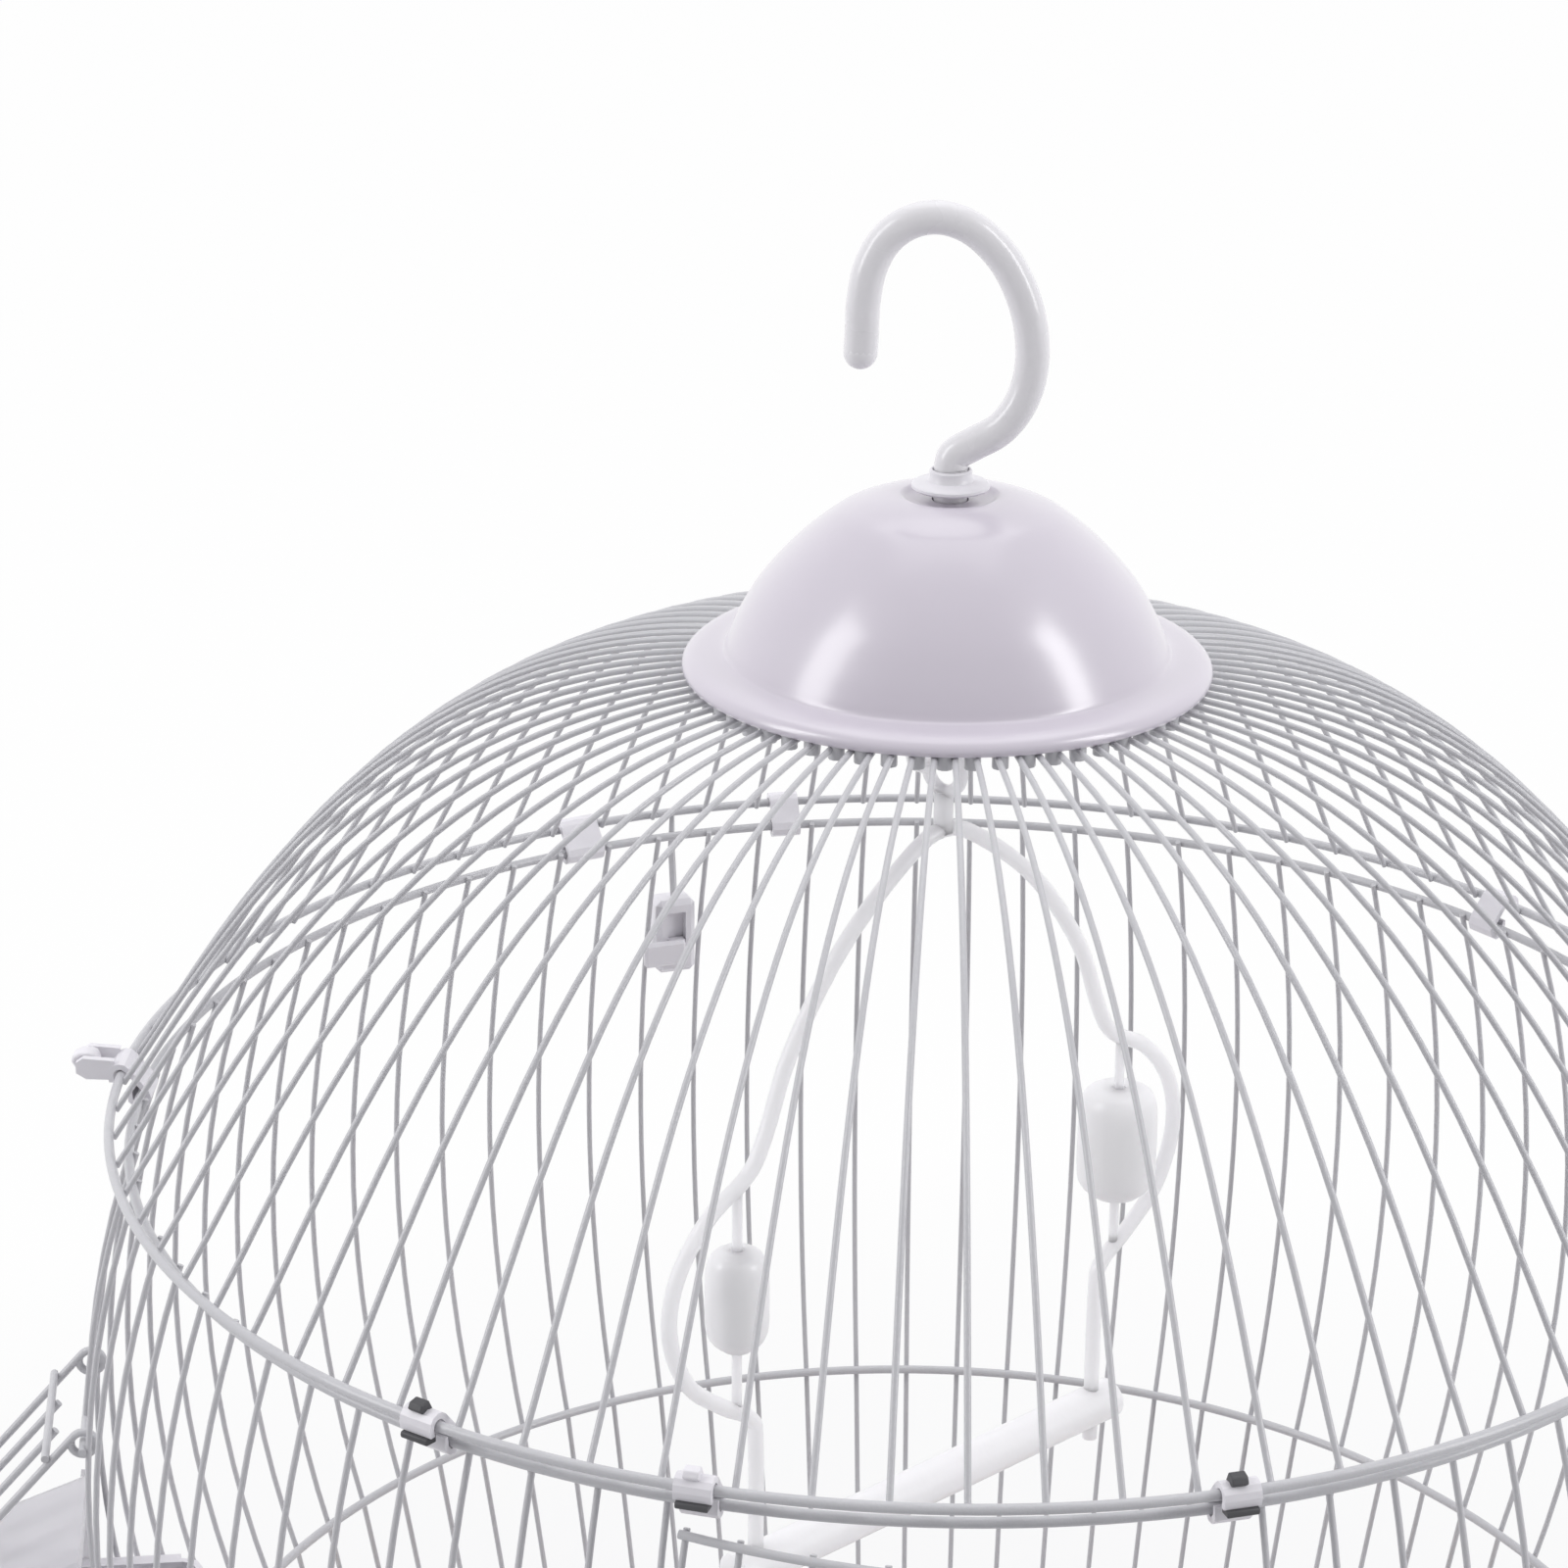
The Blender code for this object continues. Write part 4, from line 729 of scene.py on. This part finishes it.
def stage():
    shape = bmesh.new()
    bmesh.ops.create_grid(shape, x_segments=1, y_segments=1, size=6)
    mesh = bpy.data.meshes.new("floor")
    shape.to_mesh(mesh)
    shape.free()
    floor = link(bpy.data.objects.new("floor", mesh))
    floor.location = (0, 0, -0.0002)
    material = bpy.data.materials.new("floor")
    material.use_nodes = True
    tree = material.node_tree
    nodes = tree.nodes
    links = tree.links
    plain = nodes["Principled BSDF"]
    plain.inputs["Base Color"].default_value = (0.62, 0.62, 0.63, 1)
    plain.inputs["Roughness"].default_value = 0.8
    white = nodes.new("ShaderNodeEmission")
    white.inputs["Color"].default_value = (1, 1, 1, 1)
    white.inputs["Strength"].default_value = 1.0
    place = nodes.new("ShaderNodeTexCoord")
    away = nodes.new("ShaderNodeVectorMath")
    away.operation = "LENGTH"
    links.new(place.outputs["Object"], away.inputs[0])
    whiteness = nodes.new("ShaderNodeMapRange")
    whiteness.inputs["From Min"].default_value = 0.16
    whiteness.inputs["From Max"].default_value = 0.5
    whiteness.inputs["To Min"].default_value = 0.72
    whiteness.inputs["To Max"].default_value = 0.98
    links.new(away.outputs["Value"], whiteness.inputs["Value"])
    share = nodes.new("ShaderNodeMath")
    share.operation = "MULTIPLY"
    links.new(backdrop_rays(tree), share.inputs[0])
    links.new(whiteness.outputs["Result"], share.inputs[1])
    blend = nodes.new("ShaderNodeMixShader")
    links.new(share.outputs[0], blend.inputs["Fac"])
    links.new(plain.outputs["BSDF"], blend.inputs[1])
    links.new(white.outputs["Emission"], blend.inputs[2])
    links.new(blend.outputs["Shader"], nodes["Material Output"].inputs["Surface"])
    mesh.materials.append(material)


AROUND_LIGHT = 0.97
FRONT_LIGHT = 0.08


def world():
    sky = bpy.data.worlds.new("studio")
    bpy.context.scene.world = sky
    sky.use_nodes = True
    tree = sky.node_tree
    nodes = tree.nodes
    links = tree.links
    light = nodes["Background"]
    light.inputs["Color"].default_value = (0.97, 0.965, 1.0, 1)
    place = nodes.new("ShaderNodeTexCoord")
    parts = nodes.new("ShaderNodeSeparateXYZ")
    links.new(place.outputs["Generated"], parts.inputs["Vector"])
    front = nodes.new("ShaderNodeMapRange")
    front.inputs["From Min"].default_value = -0.9
    front.inputs["From Max"].default_value = 0.0
    front.inputs["To Min"].default_value = FRONT_LIGHT
    front.inputs["To Max"].default_value = AROUND_LIGHT
    links.new(parts.outputs["Y"], front.inputs["Value"])
    links.new(front.outputs["Result"], light.inputs["Strength"])
    seen = nodes.new("ShaderNodeBackground")
    seen.inputs["Color"].default_value = (1, 1, 1, 1)
    seen.inputs["Strength"].default_value = 1.0
    blend = nodes.new("ShaderNodeMixShader")
    links.new(backdrop_rays(tree), blend.inputs["Fac"])
    links.new(light.outputs["Background"], blend.inputs[1])
    links.new(seen.outputs["Background"], blend.inputs[2])
    links.new(blend.outputs["Shader"], nodes["World Output"].inputs["Surface"])


def softbox(name, place, aim, width, height, power):
    lamp = bpy.data.lights.new(name, "AREA")
    lamp.shape = "RECTANGLE"
    lamp.size = width
    lamp.size_y = height
    lamp.energy = power
    obj = link(bpy.data.objects.new(name, lamp))
    obj.location = place
    obj.rotation_mode = "QUATERNION"
    obj.rotation_quaternion = (Vector(aim) - Vector(place)).to_track_quat("-Z", "Y")


CAMERA_DISTANCE = 5.018 * ROOF_HOOP_RADIUS
CAMERA_HEIGHT = math.radians(24.68)
CAMERA_PITCH = math.radians(20.48)
CAMERA_YAW = math.radians(-2.39)
CAMERA_ROLL = math.radians(0.4)
FRAME_PIXELS = 1600
FOCAL_PIXELS = 4179
SENSOR_WIDTH = 36


def camera():
    """The camera at the photograph's place, aimed from the front and above."""
    distance, height = CAMERA_DISTANCE, CAMERA_HEIGHT
    pitch, yaw, roll = CAMERA_PITCH, CAMERA_YAW, CAMERA_ROLL
    data = bpy.data.cameras.new("camera")
    data.sensor_width = SENSOR_WIDTH
    data.lens = FOCAL_PIXELS / FRAME_PIXELS * SENSOR_WIDTH
    obj = link(bpy.data.objects.new("camera", data))
    forward = Vector((math.sin(yaw) * math.cos(pitch), math.cos(yaw) * math.cos(pitch), -math.sin(pitch)))
    right = forward.cross(Vector((0, 0, 1))).normalized()
    up = right.cross(forward)
    across = right * math.cos(roll) + up * math.sin(roll)
    above = up * math.cos(roll) - right * math.sin(roll)
    turn = Matrix((across, above, -forward)).transposed()
    obj.matrix_world = Matrix.Translation(
        Vector((0, -distance * math.cos(height), JOIN_Z + distance * math.sin(height)))
    ) @ turn.to_4x4()
    bpy.context.scene.camera = obj


stage()
world()
softbox("left_box", (-1.3, -0.42, 1.0), (0, 0, 0.3), 0.48, 1.2, 9)
softbox("right_box", (1.3, -0.42, 1.0), (0, 0, 0.3), 0.36, 1.2, 9)
softbox("top_box", (0, 0.45, 1.7), (0, 0, 0.3), 1.2, 1.2, 4)
camera()

scene = bpy.context.scene
scene.view_settings.view_transform = "Standard"

bpy.context.view_layer.update()
